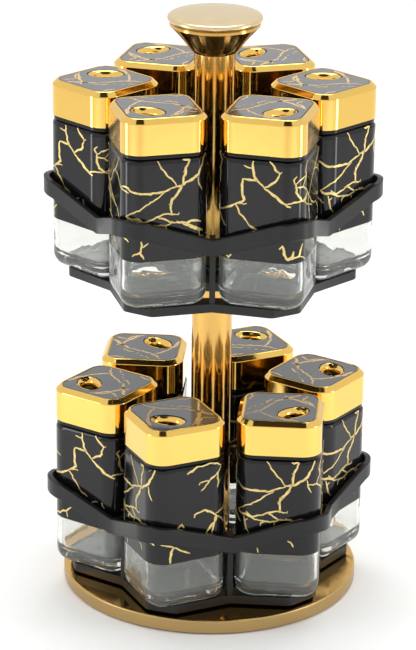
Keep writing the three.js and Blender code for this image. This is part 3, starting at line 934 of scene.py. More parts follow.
def cut_away(body, cutter):
    """Cuts one bmesh from another and returns the result; both are used up."""
    whole = as_object(body, "whole")
    tool = as_object(cutter, "tool")
    modifier = whole.modifiers.new("cut", "BOOLEAN")
    modifier.operation = "DIFFERENCE"
    modifier.solver = "EXACT"
    modifier.object = tool
    bpy.context.view_layer.update()
    evaluated = whole.evaluated_get(bpy.context.evaluated_depsgraph_get())
    mesh = bpy.data.meshes.new_from_object(evaluated)
    result = bmesh.new()
    result.from_mesh(mesh)
    bpy.data.meshes.remove(mesh)
    for made in (whole, tool):
        data = made.data
        bpy.data.objects.remove(made)
        bpy.data.meshes.remove(data)
    return result


def tray_shape(sizes, jar):
    outline = star_points(sizes.tray_half, sizes.tip_cut)
    tray = prism(outline, 0, sizes.tray_thickness)
    upright = [e for e in tray.edges if abs(e.verts[0].co.z - e.verts[1].co.z) > 1 * MM]
    tips = [e for e in upright if e.verts[0].co.xy.length > jar_circle_radius() + 8 * MM]
    round_edges(tray, tips, 2.2 * MM, 5)
    cutter = bmesh.new()
    outer = notch_radius(sizes.tray_half) - sizes.hole_edge
    for index in range(JARS_PER_TIER):
        half = sizes.hole_width / 2
        inner = sizes.hole_length - outer
        hole = prism(
            [(-half, -outer), (half, -outer), (half, inner), (-half, inner)],
            -1 * MM,
            sizes.tray_thickness + 1 * MM,
        )
        upright = [e for e in hole.edges if abs(e.verts[0].co.z - e.verts[1].co.z) > 1 * MM]
        round_edges(hole, upright, 2.5 * MM, 5)
        turn = Matrix.Rotation(SECTOR * index, 3, "Z")
        bmesh.ops.rotate(hole, verts=hole.verts, cent=(0, 0, 0), matrix=turn)
        join(cutter, hole)
        seat = bmesh.new()
        face = square_face(
            seat,
            jar.half_width - sizes.seat_inset,
            jar.corner - sizes.seat_inset,
            sizes.tray_thickness - sizes.seat_depth,
        )
        raise_faces(seat, [face], 3 * MM)
        face_outwards(seat)
        bmesh.ops.translate(seat, verts=seat.verts, vec=(0, -jar_circle_radius(), 0))
        turn = Matrix.Rotation(SECTOR * index + HALF_SECTOR, 3, "Z")
        bmesh.ops.rotate(seat, verts=seat.verts, cent=(0, 0, 0), matrix=turn)
        join(cutter, seat)
    join(cutter, prism(circle_points(sizes.hub_bore, 0), -1 * MM, sizes.tray_thickness + 1 * MM))
    tray = cut_away(tray, cutter)
    bmesh.ops.remove_doubles(tray, verts=tray.verts, dist=SAME)
    bmesh.ops.dissolve_limit(tray, angle_limit=math.radians(0.5), verts=tray.verts, edges=tray.edges)
    round_edges(tray, sharp_edges(tray, math.radians(60)), 0.3 * MM, 2)
    return tray


class CAROUSEL_OT_tiers(Operator):
    """Makes the two black tiers: tray, hub, fins and wavy rail."""

    bl_idname = "carousel.tiers"
    bl_label = "Tiers"

    def execute(self, context):
        sizes = context.scene.carousel_tier
        jar = context.scene.carousel_jar
        for tier in TIERS:
            bm = tray_shape(sizes, jar)
            for index in range(JARS_PER_TIER):
                add_fin(bm, sizes, index)
            band = bmesh.new()
            sweep(band, rail_sections(sizes, jar), closed=True)
            face_outwards(band)
            join(bm, band)
            hub = bmesh.new()
            bore = sizes.hub_bore
            turn_profile(
                hub,
                [
                    (bore, 0.2 * MM),
                    (bore + sizes.hub_wall, 0.2 * MM),
                    (bore + sizes.hub_wall, sizes.hub_height),
                    (bore, sizes.hub_height),
                ],
            )
            face_outwards(hub)
            round_edges(hub, sharp_edges(hub), 0.4 * MM, 2)
            join(bm, hub)
            finish_piece(
                f"{tier}_tier_fine",
                bm,
                [finish("satin_abs")],
                f"{tier}_tier",
                [f"{tier}_tier"],
                tier_place(tier),
            )
        return {"FINISHED"}


# ---------------------------------------------------------------- veins

# Courses of the veins on a jar's side, in millimetres: along the side from its middle, and up from
# the lacquer's edge. Each course starts with its width, as a share of the full vein width.
TREE = [
    (1.15, [(-30, 45), (-26, 46), (-23, 43.5), (-18, 42.5), (-12, 42), (-6, 42), (0, 43.5), (5, 45.5)]),
    (1.3, [(5, 45.5), (9, 46.5), (14, 49), (18, 52), (20, 55.5), (22, 60), (23, 62)]),
    (0.85, [(-6.5, 61.5), (-4, 57), (0, 52), (3, 49), (5, 45.5)]),
    (1.2, [(9, 46.5), (9.5, 51), (10, 54.5), (11.5, 58), (13, 61.5)]),
    (0.7, [(10, 54.5), (8.7, 54)]),
    (1.0, [(13, 61), (8.5, 61.5)]),
    (1.35, [(9, 46.5), (7, 43), (5, 40), (2.5, 37), (1.5, 34.5), (2, 31.5), (1.8, 28)]),
    (0.7, [(4, 38.5), (1.5, 38)]),
    (0.7, [(2, 35), (0.2, 34.6)]),
    (0.8, [(-2, 42.5), (-7, 39), (-13, 35), (-19, 31.5), (-25, 28)]),
    (1.3, [(-25.5, 28), (-24, 26), (-20, 26), (-16, 24.5), (-12, 23)]),
    (0.9, [(-12, 23), (-7, 22), (-3, 21.8), (0, 22.5), (3, 23.5)]),
    (0.9, [(-19, 27.5), (-15, 24.8), (-10, 26), (-6, 27.5), (-2, 29), (1.5, 29), (4, 28.3), (6.5, 28)]),
    (0.7, [(6, 28), (6.6, 29.3)]),
    (0.9, [(-6, 27.5), (-2, 25.5), (1, 23.5), (5, 23.4)]),
    (1.7, [(5, 23.4), (10, 22.5), (14, 20.5), (18, 18.5), (22, 16.5)]),
    (1.2, [(10, 22.5), (14, 24), (18, 23.5), (20.5, 22.5)]),
    (0.7, [(18, 18.5), (18.7, 15.5), (20, 13)]),
    (0.7, [(-1, 22), (-1.6, 19.5)]),
    (0.7, [(18, 50), (18.8, 46), (21, 41.5)]),
]
TREE_FOOT = [
    (0.8, [(-20, 24.5), (-19.7, 20), (-18.5, 16.5), (-16.5, 13.5)]),
    (0.7, [(-19.7, 21), (-17.8, 23)]),
    (0.8, [(-8, 22), (-9.5, 20.8), (-10, 18.8)]),
    (0.8, [(-12, 4), (-11, 1)]),
    (0.8, [(7, 9.5), (9, 8), (10.5, 5.5)]),
]
TREE_MARK = [
    (1.0, [(-16, 13), (-15.7, 10), (-16.5, 7), (-19, 5.3), (-21.5, 3.5)]),
    (0.8, [(-15.7, 9.5), (-13.5, 10.5), (-11.8, 11.7)]),
    (1.0, [(-16.5, 7), (-15.6, 4.5), (-14.5, 2)]),
]
BOLT = [
    (1.2, [(-6.5, 61.5), (-6.5, 56), (-5.5, 52.5), (-3.5, 49.5), (-1, 47.5), (1, 45)]),
    (0.7, [(-6.5, 57.5), (-9, 57.4), (-12, 58.5)]),
    (1.4, [(1, 45), (4, 43), (8, 40.5), (11, 38), (14.5, 35.7), (16.5, 35)]),
    (1.1, [(1, 46), (5, 48.5), (8, 51), (9, 54), (9.5, 56)]),
    (1.1, [(9.5, 56), (7, 57.5), (5, 60.5), (3.5, 62)]),
    (0.9, [(9.5, 55.5), (11, 56.3)]),
    (1.1, [(-3.5, 49.5), (-8, 50), (-12.5, 50.2)]),
    (1.3, [(-12.5, 50.2), (-12.5, 45), (-12.5, 40.5), (-11.3, 37.5), (-14, 36), (-17, 34)]),
    (1.1, [(-17, 34), (-21, 32), (-26, 30), (-31, 28.5)]),
    (0.7, [(-17, 34.5), (-13, 35), (-10, 35.4)]),
    (0.9, [(-16.5, 33.5), (-14, 29), (-10, 24.5), (-7.5, 21.5)]),
    (1.1, [(-8.5, 22.5), (-6.5, 21), (-3, 19.5)]),
    (0.8, [(14, 36.5), (18, 38), (24, 37.7)]),
    (1.1, [(25, 37.5), (21.5, 40.5), (19.5, 44), (19.5, 48.5)]),
    (0.8, [(19.5, 48), (18, 51.5), (20, 53.5)]),
    (0.8, [(19.7, 48.5), (23.5, 51), (29, 53.5)]),
    (2.0, [(25, 37.5), (28.5, 39), (31, 41)]),
    (0.9, [(25, 37.5), (30, 34.5), (37, 32), (44, 29.5)]),
    (0.7, [(0, 16.5), (5, 18)]),
    (0.9, [(8, 18), (10, 14.5)]),
]
BOLT_FOOT = [
    (1.2, [(9.8, 9.3), (12, 11), (13, 8), (14, 4.5), (15.5, 2.3), (19, 3)]),
    (1.3, [(15, 2.3), (18.5, 4.5), (18.8, 7.7)]),
    (1.0, [(18.5, 3.5), (22.5, 4), (24, 7.5), (25.5, 11.3)]),
    (0.7, [(23, 3.8), (29, 1)]),
    (0.9, [(-22, 2.2), (-20.5, 0.8), (-18.8, 3)]),
]
BOLT_MARK = [(1.0, [(-29, 2.3), (-25, 3), (-20, 5.5), (-15.5, 9)]), (0.8, [(-19, 5.3), (-18.5, 1.5)])]
SCATTER = [
    (1.3, [(-3.5, 57.8), (0, 59.3), (5, 61.3)]),
    (0.9, [(5, 61.3), (12, 62), (17, 61.3), (20, 59.5)]),
    (0.9, [(20, 59.5), (18.5, 56), (17, 54.5), (12, 51), (9, 48), (6, 45)]),
    (0.7, [(12, 51), (8, 51.3), (4.5, 49)]),
    (1.0, [(17.5, 55), (17.4, 50), (17, 45.3)]),
    (1.1, [(1.5, 28), (2, 30), (5, 31), (9, 31.7), (13, 29.7), (17, 26.7)]),
    (1.8, [(17, 26.7), (15.3, 23)]),
    (1.2, [(15.3, 23), (12.5, 20), (9.5, 16.5)]),
    (1.0, [(15.3, 23), (14, 19), (13.5, 16)]),
    (0.9, [(17, 26.7), (20, 24), (24, 20)]),
    (1.1, [(-10, 23.2), (-7, 24.5), (-5, 22.5)]),
    (1.0, [(-21, 14), (-16, 12.3), (-12, 10.8)]),
    (0.9, [(-12, 10.8), (-6, 7.5), (-1, 5)]),
    (1.3, [(-12.3, 10.5), (-14, 8), (-14.5, 4), (-14.2, 0.7)]),
    (0.9, [(-26, 14), (-24, 12.6)]),
]
STREAM = [
    (1.0, [(-28, 47), (-23, 46.5), (-18, 44), (-14, 40.5), (-11, 38), (-6, 33.5), (0, 30), (7, 28.5)]),
    (0.9, [(-12, 38.5), (-7, 43), (-3, 48), (2, 51), (9, 57), (12, 61)]),
    (1.1, [(-14, 40.5), (-12, 35), (-10, 29), (-9.3, 24), (-9, 19)]),
    (0.8, [(-22, 46.5), (-19, 51), (-19.5, 57), (-17, 61)]),
    (1.2, [(-13, 21), (-8, 20), (-3, 17), (4, 16), (10, 18), (16, 16), (23, 12)]),
    (0.8, [(7, 28.5), (12, 24), (13, 19)]),
    (0.8, [(2, 51), (9, 49), (16, 44), (23, 42)]),
    (0.8, [(-2, 8), (3, 6.5), (6, 2)]),
]
# What stands on each jar's four sides, and how far round the print has slipped. The sides run
# anticlockwise from above, starting with the one to the right of the jar's outward corner.
PRINTS = {
    "upper_front_left": ([TREE + TREE_MARK, SCATTER, BOLT + BOLT_MARK, STREAM], 0),
    "upper_front_right": ([STREAM, TREE + TREE_FOOT, SCATTER, BOLT + BOLT_FOOT], 3),
    "upper_right": ([STREAM, BOLT + BOLT_FOOT, SCATTER, TREE + TREE_FOOT], 0),
    "upper_back_right": ([BOLT + BOLT_MARK, STREAM, SCATTER, TREE + TREE_FOOT], 1),
    "upper_back_left": ([TREE + TREE_FOOT, BOLT + BOLT_FOOT, STREAM, SCATTER], -2),
    "upper_left": ([BOLT + BOLT_MARK, STREAM, TREE + TREE_MARK, SCATTER], 0),
    "lower_front_left": ([SCATTER, BOLT + BOLT_FOOT, STREAM, TREE + TREE_FOOT], 0),
    "lower_front_right": ([STREAM, BOLT + BOLT_MARK, SCATTER, TREE + TREE_FOOT], 0),
    "lower_right": ([STREAM, BOLT + BOLT_FOOT, SCATTER, TREE + TREE_FOOT], -1),
    "lower_back_right": ([BOLT + BOLT_MARK, SCATTER, TREE + TREE_FOOT, STREAM], 2),
    "lower_back_left": ([TREE + TREE_MARK, BOLT + BOLT_FOOT, STREAM, SCATTER], 0),
    "lower_left": ([BOLT + BOLT_MARK, SCATTER, TREE + TREE_MARK, STREAM], 7),
}
# The plate's veins, across and towards the back, with the opening towards the front.
PLATE_VEINS = [
    (0.8, [(-26, 8.5), (-22, 6), (-18, 4.8), (-13, 4.5), (-8, 5), (-3, 7), (1, 8), (5, 10)]),
    (0.6, [(-20, 11.5), (-17, 10.6), (-14, 11)]),
    (0.5, [(-12, 11), (-10, 11.8)]),
    (0.5, [(-7, 11), (-5, 11.2)]),
    (0.7, [(-2, 10.5), (-1, 12), (4, 13.6), (7, 12.3)]),
    (1.0, [(4, 10), (8, 9.5), (12, 8.5)]),
    (1.5, [(10, 9), (14, 8.7), (20, 7.5), (26, 6.5), (30, 5.5)]),
    (0.9, [(12, 8.5), (14.5, 12), (17, 13), (20, 13.5), (22.5, 15.5)]),
    (1.1, [(12, 8.5), (14, 5), (15.5, 1), (16, -4), (16.5, -9), (16, -13)]),
    (0.9, [(17, 0), (18.5, -5), (17.5, -10), (19, -14)]),
    (0.7, [(17.5, 0), (21, 1.5), (26, 2.8), (30, 2)]),
    (0.9, [(-14, 4.5), (-14.5, 0), (-14.3, -6), (-13.5, -10)]),
    (1.3, [(-13.5, -10), (-11.5, -15), (-9, -20), (-6, -24)]),
    (0.8, [(-8, 22.5), (-4, 23.5), (-1, 25.5), (1, 28.5)]),
    (1.3, [(12, 21.5), (13.5, 17.5)]),
]


def vein_course(points, sizes, seed):
    """Points every step along a course, wandering a little to each side."""
    course = []
    travelled = 0.0
    for start, end in zip(points, points[1:]):
        start, end = Vector(start), Vector(end)
        span = (end - start).length
        steps = max(1, round(span * MM / sizes.step))
        side = Vector((-(end - start).y, (end - start).x)) / span
        for step in range(steps):
            place = start.lerp(end, step / steps)
            wander = noise.noise(Vector((travelled * 0.35, seed * 7.3, 0.5)))
            fine = noise.noise(Vector((travelled * 1.1, seed * 3.1, 8.5)))
            course.append(place * MM + side * (wander * 1.6 + fine * 0.8) * sizes.jitter)
            travelled += span / steps
    course.append(Vector(points[-1]) * MM)
    return course


def add_vein(bm, points, width, seed, sizes, surface):
    """Lays a foil strip along a course; surface(course point) gives its place and outward normal."""
    course = vein_course(points, sizes, seed)
    count = len(course)
    chance = random.Random(seed)
    sections = []
    for i, here in enumerate(course):
        ahead = course[min(i + 1, count - 1)] - course[max(i - 1, 0)]
        side = Vector((-ahead.y, ahead.x)).normalized()
        share = i / (count - 1)
        taper = 0.35 + 0.65 * math.sin(math.pi * min(max(share * 0.8 + 0.12, 0), 1))
        half = sizes.width * width * taper * chance.uniform(0.75, 1.2) / 2
        left, normal = surface(here + side * half)
        right, other = surface(here - side * half)
        sections.append(
            [
                left - normal * sizes.thickness,
                left + normal * sizes.thickness,
                right + other * sizes.thickness,
                right - other * sizes.thickness,
            ]
        )
    sweep(bm, sections, closed=False)


# ---------------------------------------------------------------- jars


def vessel(bm, half, corner, low, split, high, low_round, high_round, mouth, z_mouth):
    """An upright square shell from low to high, open at a round mouth; returns the mouth's edges."""
    part = bmesh.new()
    face = square_face(part, half, corner, low)
    middle = raise_faces(part, [face], split - low)
    top = raise_faces(part, middle, high - split)
    face_outwards(part)
    bottom = [f for f in part.faces if all(abs(v.co.z - low) < SAME for v in f.verts)]
    round_edges(part, face_edges(bottom), low_round, 8)
    top = [f for f in part.faces if all(abs(v.co.z - high) < SAME for v in f.verts)]
    round_edges(part, face_edges(top), high_round, 5)
    top = [f for f in part.faces if f.normal.z > 0.99 and all(abs(v.co.z - high) < SAME for v in f.verts)]
    rim = face_edges(top)
    count = len(rim)
    bmesh.ops.delete(part, geom=top, context="FACES_ONLY")
    circle = edge_loop(part, circle_points(mouth, z_mouth, count))
    bmesh.ops.bridge_loops(part, edges=rim + circle)
    join(bm, part)
    return [
        e
        for e in bm.edges
        if len(e.link_faces) == 1
        and all(abs(v.co.z - z_mouth) < SAME and abs(v.co.xy.length - mouth) < 1e-5 for v in e.verts)
    ]


def side_surface(jar, quarter):
    """Maps (along, up) from one side's middle, in metres, to a place and normal, round the corners too."""
    flat = jar.half_width - jar.corner
    to_next = 2 * flat + jar.corner * math.pi / 2

    def surface(point):
        sides_on = round(point.x / to_next)
        reach = point.x - sides_on * to_next
        direction = math.radians(45 + 90 * (quarter + sides_on))
        out = around(direction, 1.0)
        across = around(direction + QUARTER_TURN, 1.0)
        height = Vector((0, 0, jar.lacquer_edge + point.y))
        if abs(reach) <= flat:
            return out * jar.half_width + across * reach + height, out
        turn = math.copysign((abs(reach) - flat) / jar.corner, reach)
        normal = (out * math.cos(turn) + across * math.sin(turn)).normalized()
        bend = out * flat + across * math.copysign(flat, reach)
        return bend + normal * jar.corner + height, normal

    return surface


def jar_shape(jar, sides, slip):
    """One jar: clear glass, lacquer over its upper part, and foil veins on the lacquer."""
    bm = bmesh.new()
    outer = vessel(
        bm,
        jar.half_width,
        jar.corner,
        0.0,
        jar.lacquer_edge,
        jar.body_height,
        jar.foot_round,
        jar.shoulder_round,
        jar.neck,
        jar.body_height,
    )
    neck_top = jar.body_height + jar.neck_height
    lip = extend_loop(bm, outer, (0, 0, jar.neck_height))
    bm.faces.ensure_lookup_table()
    coated = [
        f
        for f in bm.faces
        if f.calc_center_median().z > jar.lacquer_edge and f.calc_center_median().z < jar.body_height + SAME
    ]
    for face in coated:
        face.material_index = 1
    inside_half = jar.half_width - jar.wall
    inner = vessel(
        bm,
        inside_half,
        jar.corner - jar.wall,
        jar.base,
        jar.lacquer_edge + 8 * MM,
        jar.body_height - jar.wall,
        jar.foot_round - jar.wall,
        jar.shoulder_round,
        jar.neck - jar.neck_wall,
        jar.body_height - jar.wall,
    )
    extend_loop(bm, inner, (0, 0, jar.neck_height + jar.wall))
    narrowing = (jar.neck - jar.neck_wall) / jar.neck
    extend_loop(bm, lip, scale=(narrowing, narrowing, 1))
    bmesh.ops.remove_doubles(bm, verts=[v for v in bm.verts if v.co.z > neck_top - SAME], dist=1e-5)
    face_outwards(bm)
    rims = [
        e
        for e in bm.edges
        if all(abs(v.co.z - neck_top) < SAME for v in e.verts) and e.calc_face_angle(0) > math.radians(60)
    ]
    round_edges(bm, rims, 0.9 * MM, 4)
    sizes = bpy.context.scene.carousel_vein
    for quarter, layout in enumerate(sides):
        surface = side_surface(jar, quarter)
        for number, (width, points) in enumerate(layout):
            strip = bmesh.new()
            slipped = [(along + slip, up) for along, up in points]
            add_vein(strip, slipped, width, sizes.seed + SIDE_SEED * quarter + number, sizes, surface)
            face_outwards(strip)
            for face in strip.faces:
                face.material_index = 2
            join(bm, strip)
    return bm


class CAROUSEL_OT_jars(Operator):
    """Makes the twelve glass jars with their lacquer and veins."""

    bl_idname = "carousel.jars"
    bl_label = "Jars"

    def execute(self, context):
        jar = context.scene.carousel_jar
        materials = [finish("soda_lime_glass"), finish("charcoal_lacquer"), finish("vein_foil")]
        for tier, spot in each_jar():
            node = f"{tier}_{spot}_jar"
            bm = jar_shape(jar, *PRINTS[f"{tier}_{spot}"])
            place = jar_place(tier, spot)
            finish_piece(f"{node}_fine", bm, materials, node, [node], place)
        return {"FINISHED"}


# ---------------------------------------------------------------- inserts, caps and plates


def slot_points(reach, width, centre, z):
    """A slot with round ends, its length along Y."""
    points = []
    radius = width / 2
    for end in (1, -1):
        for step in range(9):
            angle = math.radians(-90 + 180 * step / 8)
            along = end * (reach / 2 - radius + math.cos(angle) * radius)
            points.append((centre[0] - end * math.sin(angle) * radius, centre[1] + along, z))
    return points


def insert_shape(jar, lid):
    """The shaker insert: the ring under the cap, and a holed disc over the neck."""
    wall_thickness = 1.8 * MM
    low = jar.body_height + CLEARANCE
    disc_low = jar.body_height + jar.neck_height + CLEARANCE
    inner = jar.neck + CLEARANCE
    outer = inner + wall_thickness
    bm = bmesh.new()
    face = square_face(bm, jar.half_width - lid.setback, jar.corner - lid.setback, low)
    rim = list(face.edges)
    bmesh.ops.delete(bm, geom=[face], context="FACES_ONLY")
    faces = fill_flat(bm, rim + edge_loop(bm, circle_points(inner, low)))
    raise_faces(bm, faces, lid.flange)
    face_outwards(bm)
    round_edges(bm, sharp_edges(bm), 0.35 * MM, 3)

    wall = bmesh.new()
    foot = low + CLEARANCE
    rings = edge_loop(wall, circle_points(inner, foot)) + edge_loop(wall, circle_points(outer, foot))
    raise_faces(wall, fill_flat(wall, rings), disc_low + CLEARANCE - low)
    face_outwards(wall)
    join(bm, wall)

    disc = bmesh.new()
    loops = edge_loop(disc, circle_points(outer, disc_low))
    for place in (-1, 0, 1):
        centre = (place * lid.slot_pitch, -lid.opening_offset)
        loops += edge_loop(disc, slot_points(lid.slot_length, lid.slot_width, centre, disc_low))
    pour = ellipse_points(
        lid.opening_length - lid.opening_taper - 1 * MM,
        lid.opening_width - lid.opening_taper,
        -lid.opening_offset,
        disc_low,
    )
    loops += edge_loop(disc, pour)
    raise_faces(disc, fill_flat(disc, loops), lid.disc)
    face_outwards(disc)
    round_edges(disc, sharp_edges(disc), 0.25 * MM, 2)
    join(bm, disc)
    return bm


def cap_shape(jar, lid):
    """The cap: straight sides, a sloping edge, a seat for the plate and a tapering oval opening."""
    low = jar.body_height + lid.flange + 2 * CLEARANCE
    high = low + lid.height
    ceiling = jar.body_height + jar.neck_height + lid.disc + 2 * CLEARANCE + 0.1 * MM
    bm = bmesh.new()
    face = square_face(bm, jar.half_width, jar.corner, low)
    raise_faces(bm, [face], lid.height - lid.bevel)
    face_outwards(bm)
    top = max(bm.faces, key=lambda f: f.calc_center_median().z + f.normal.z)
    inset_face(bm, top, lid.bevel, lid.bevel)
    inset_face(bm, top, lid.rim)
    made = raise_faces(bm, [top], -lid.recess)
    floor_rim = boundary(made)
    bmesh.ops.delete(bm, geom=made, context="FACES_ONLY")
    opening = edge_loop(
        bm, ellipse_points(lid.opening_length, lid.opening_width, lid.opening_offset, high - lid.recess)
    )
    fill_flat(bm, floor_rim + opening)
    # A collar round the opening stands as high as the plate; inside it a dish slopes to the throat.
    collar_wall = 0.7 * MM
    oval = (lid.opening_length - collar_wall, lid.opening_width - collar_wall)
    centre = (0, -lid.opening_offset, 0)
    crest_high = lid.recess - PLATE_DROP
    crest_round, brow_drop, brow_width = 0.25 * MM, 0.2 * MM, 0.45 * MM

    def shrink(before, after):
        return (oval[0] + after) / (oval[0] + before), (oval[1] + after) / (oval[1] + before), 1

    outer = extend_loop(bm, opening, (0, 0, crest_high - crest_round))
    crest = extend_loop(bm, outer, (0, 0, crest_round), shrink(collar_wall, brow_width), centre)
    brow = extend_loop(bm, crest, (0, 0, -brow_drop), shrink(brow_width, 0), centre)
    dish_steps = 4
    for step in range(dish_steps):
        before, after = (lid.dish_end * math.sin(math.pi / 2 * (step + k) / dish_steps) for k in (0, 1))
        fall = (lid.dish_depth - brow_drop) / dish_steps
        brow = extend_loop(bm, brow, (0, 0, -fall), shrink(-before, -after), centre)
    throat = extend_loop(bm, brow, (0, 0, ceiling - high + PLATE_DROP + lid.dish_depth))
    bottom = min(bm.faces, key=lambda f: f.calc_center_median().z + f.normal.z)
    inset_face(bm, bottom, lid.skirt)
    roof = raise_faces(bm, [bottom], ceiling - low)
    roof_rim = boundary(roof)
    bmesh.ops.delete(bm, geom=roof, context="FACES_ONLY")
    fill_flat(bm, roof_rim + throat)
    face_outwards(bm)
    slope = [
        e
        for e in bm.edges
        if len(e.link_faces) == 2
        and e.calc_face_angle(0) > math.radians(30)
        and min(v.co.z for v in e.verts) > high - lid.bevel - 1e-5
        and min(v.co.xy.length for v in e.verts) > jar.half_width - lid.bevel - lid.rim - 3 * MM
        and abs(e.verts[0].co.z - e.verts[1].co.z) < SAME
        and abs(e.verts[0].co.z - (high - lid.recess)) > 1e-5
    ]
    round_edges(bm, slope, 0.38 * MM, 3)
    return bm


def plate_surface(z):
    """Maps a flat course to the plate's face."""

    def surface(point):
        return Vector((point.x, point.y, z)), Vector((0, 0, 1))

    return surface


def inside_plate(point, reach, lid):
    """Whether a plate vein's point clears the plate's edge and the opening, in millimetres."""
    x, y = point
    border = 1.4
    along = x / (lid.opening_length / MM + border)
    across = (y + lid.opening_offset / MM) / (lid.opening_width / MM + border)
    return abs(x) + abs(y) < reach and along**2 + across**2 > 1


def plate_shape(jar, lid):
    """The cap's plate: a thin sheet with an oval hole and foil veins."""
    edge_gap, hole_gap = 0.45 * MM, 0.7 * MM
    inset = lid.bevel + lid.rim + edge_gap
    cap_high = jar.body_height + lid.flange + 2 * CLEARANCE + lid.height
    low = cap_high - lid.recess + CLEARANCE
    high = cap_high - PLATE_DROP
    bm = bmesh.new()
    face = square_face(bm, jar.half_width - inset, jar.corner - inset, low)
    rim = list(face.edges)
    bmesh.ops.delete(bm, geom=[face], context="FACES_ONLY")
    half_length, half_width = lid.opening_length + hole_gap, lid.opening_width + hole_gap
    hole = ellipse_points(half_length, half_width, lid.opening_offset, low)
    raise_faces(bm, fill_flat(bm, rim + edge_loop(bm, hole)), high - low)
    face_outwards(bm)
    round_edges(bm, sharp_edges(bm), 0.12 * MM, 2)
    sizes = bpy.context.scene.carousel_vein
    reach = (jar.half_width - inset) * math.sqrt(2) / MM - 1
    for number, (width, points) in enumerate(PLATE_VEINS):
        seed = sizes.seed + PLATE_SEED + number
        run = []
        for point in dense_points(points, 1.2):
            if inside_plate(point, reach, lid):
                run.append(point)
                continue
            lay_plate_vein(bm, run, width, seed, sizes, high)
            run = []
        lay_plate_vein(bm, run, width, seed, sizes, high)
    return bm


def dense_points(points, step):
    """The points of a course with more between them, about a step apart."""
    dense = []
    for start, end in zip(points, points[1:]):
        start, end = Vector(start), Vector(end)
        count = max(1, round((end - start).length / step))
        dense += [tuple(start.lerp(end, i / count)) for i in range(count)]
    return dense + [tuple(points[-1])]


def lay_plate_vein(bm, run, width, seed, sizes, z):
    """Lays one unbroken run of a plate's vein; a run of one or two points is too short to show."""
    if len(run) < 3:
        return
    points = run[::2] if len(run) > 4 else run
    strip = bmesh.new()
    add_vein(strip, points, width * PLATE_VEIN_WIDTH, seed, sizes, plate_surface(z - PLATE_VEIN_SINK))
    face_outwards(strip)
    for face in strip.faces:
        face.material_index = 1
    join(bm, strip)


class CAROUSEL_OT_inserts(Operator):
    """Makes the twelve black shaker inserts."""

    bl_idname = "carousel.inserts"
    bl_label = "Shaker inserts"

    def execute(self, context):
        jar, lid = context.scene.carousel_jar, context.scene.carousel_lid
        materials = [finish("gloss_abs")]
        for tier, spot in each_jar():
            node = f"{tier}_{spot}_insert"
            bm = insert_shape(jar, lid)
            place = jar_place(tier, spot)
            finish_piece(f"{node}_fine", bm, materials, node, [node], place)
        return {"FINISHED"}


class CAROUSEL_OT_caps(Operator):
    """Makes the twelve gold caps."""

    bl_idname = "carousel.caps"
    bl_label = "Caps"

    def execute(self, context):
        jar, lid = context.scene.carousel_jar, context.scene.carousel_lid
        materials = [finish("electroplated_gold")]
        for tier, spot in each_jar():
            node = f"{tier}_{spot}_cap"
            bm = cap_shape(jar, lid)
            place = jar_place(tier, spot) @ lid_turn(tier, spot)
            finish_piece(
                f"{node}_fine", bm, materials, node, [node], place, CAP_SHARP_ANGLE
            )
        return {"FINISHED"}


class CAROUSEL_OT_plates(Operator):
    """Makes the twelve marbled plates in the caps."""

    bl_idname = "carousel.plates"
    bl_label = "Cap plates"

    def execute(self, context):
        jar, lid = context.scene.carousel_jar, context.scene.carousel_lid
        materials = [finish("printed_acrylic"), finish("plate_vein_foil")]
        for tier, spot in each_jar():
            cap = f"{tier}_{spot}_cap"
            node = f"{cap}_plate"
            place = jar_place(tier, spot) @ lid_turn(tier, spot)
            bm = plate_shape(jar, lid)
            finish_piece(f"{node}_fine", bm, materials, cap, [node], place)
        return {"FINISHED"}


# ---------------------------------------------------------------- stage


def add_softbox(name, place, aim, size, power):
    """A white area light at a place, facing a point; size is its width and height."""
    light = bpy.data.lights.new(name, "AREA")
    light.shape = "RECTANGLE"
    light.size, light.size_y = size
    light.energy = power
    lamp = bpy.data.objects.new(name, light)
    bpy.context.scene.collection.objects.link(lamp)
    lamp.location = place
    lamp.rotation_euler = (Vector(aim) - Vector(place)).to_track_quat("-Z", "Y").to_euler()
    return lamp


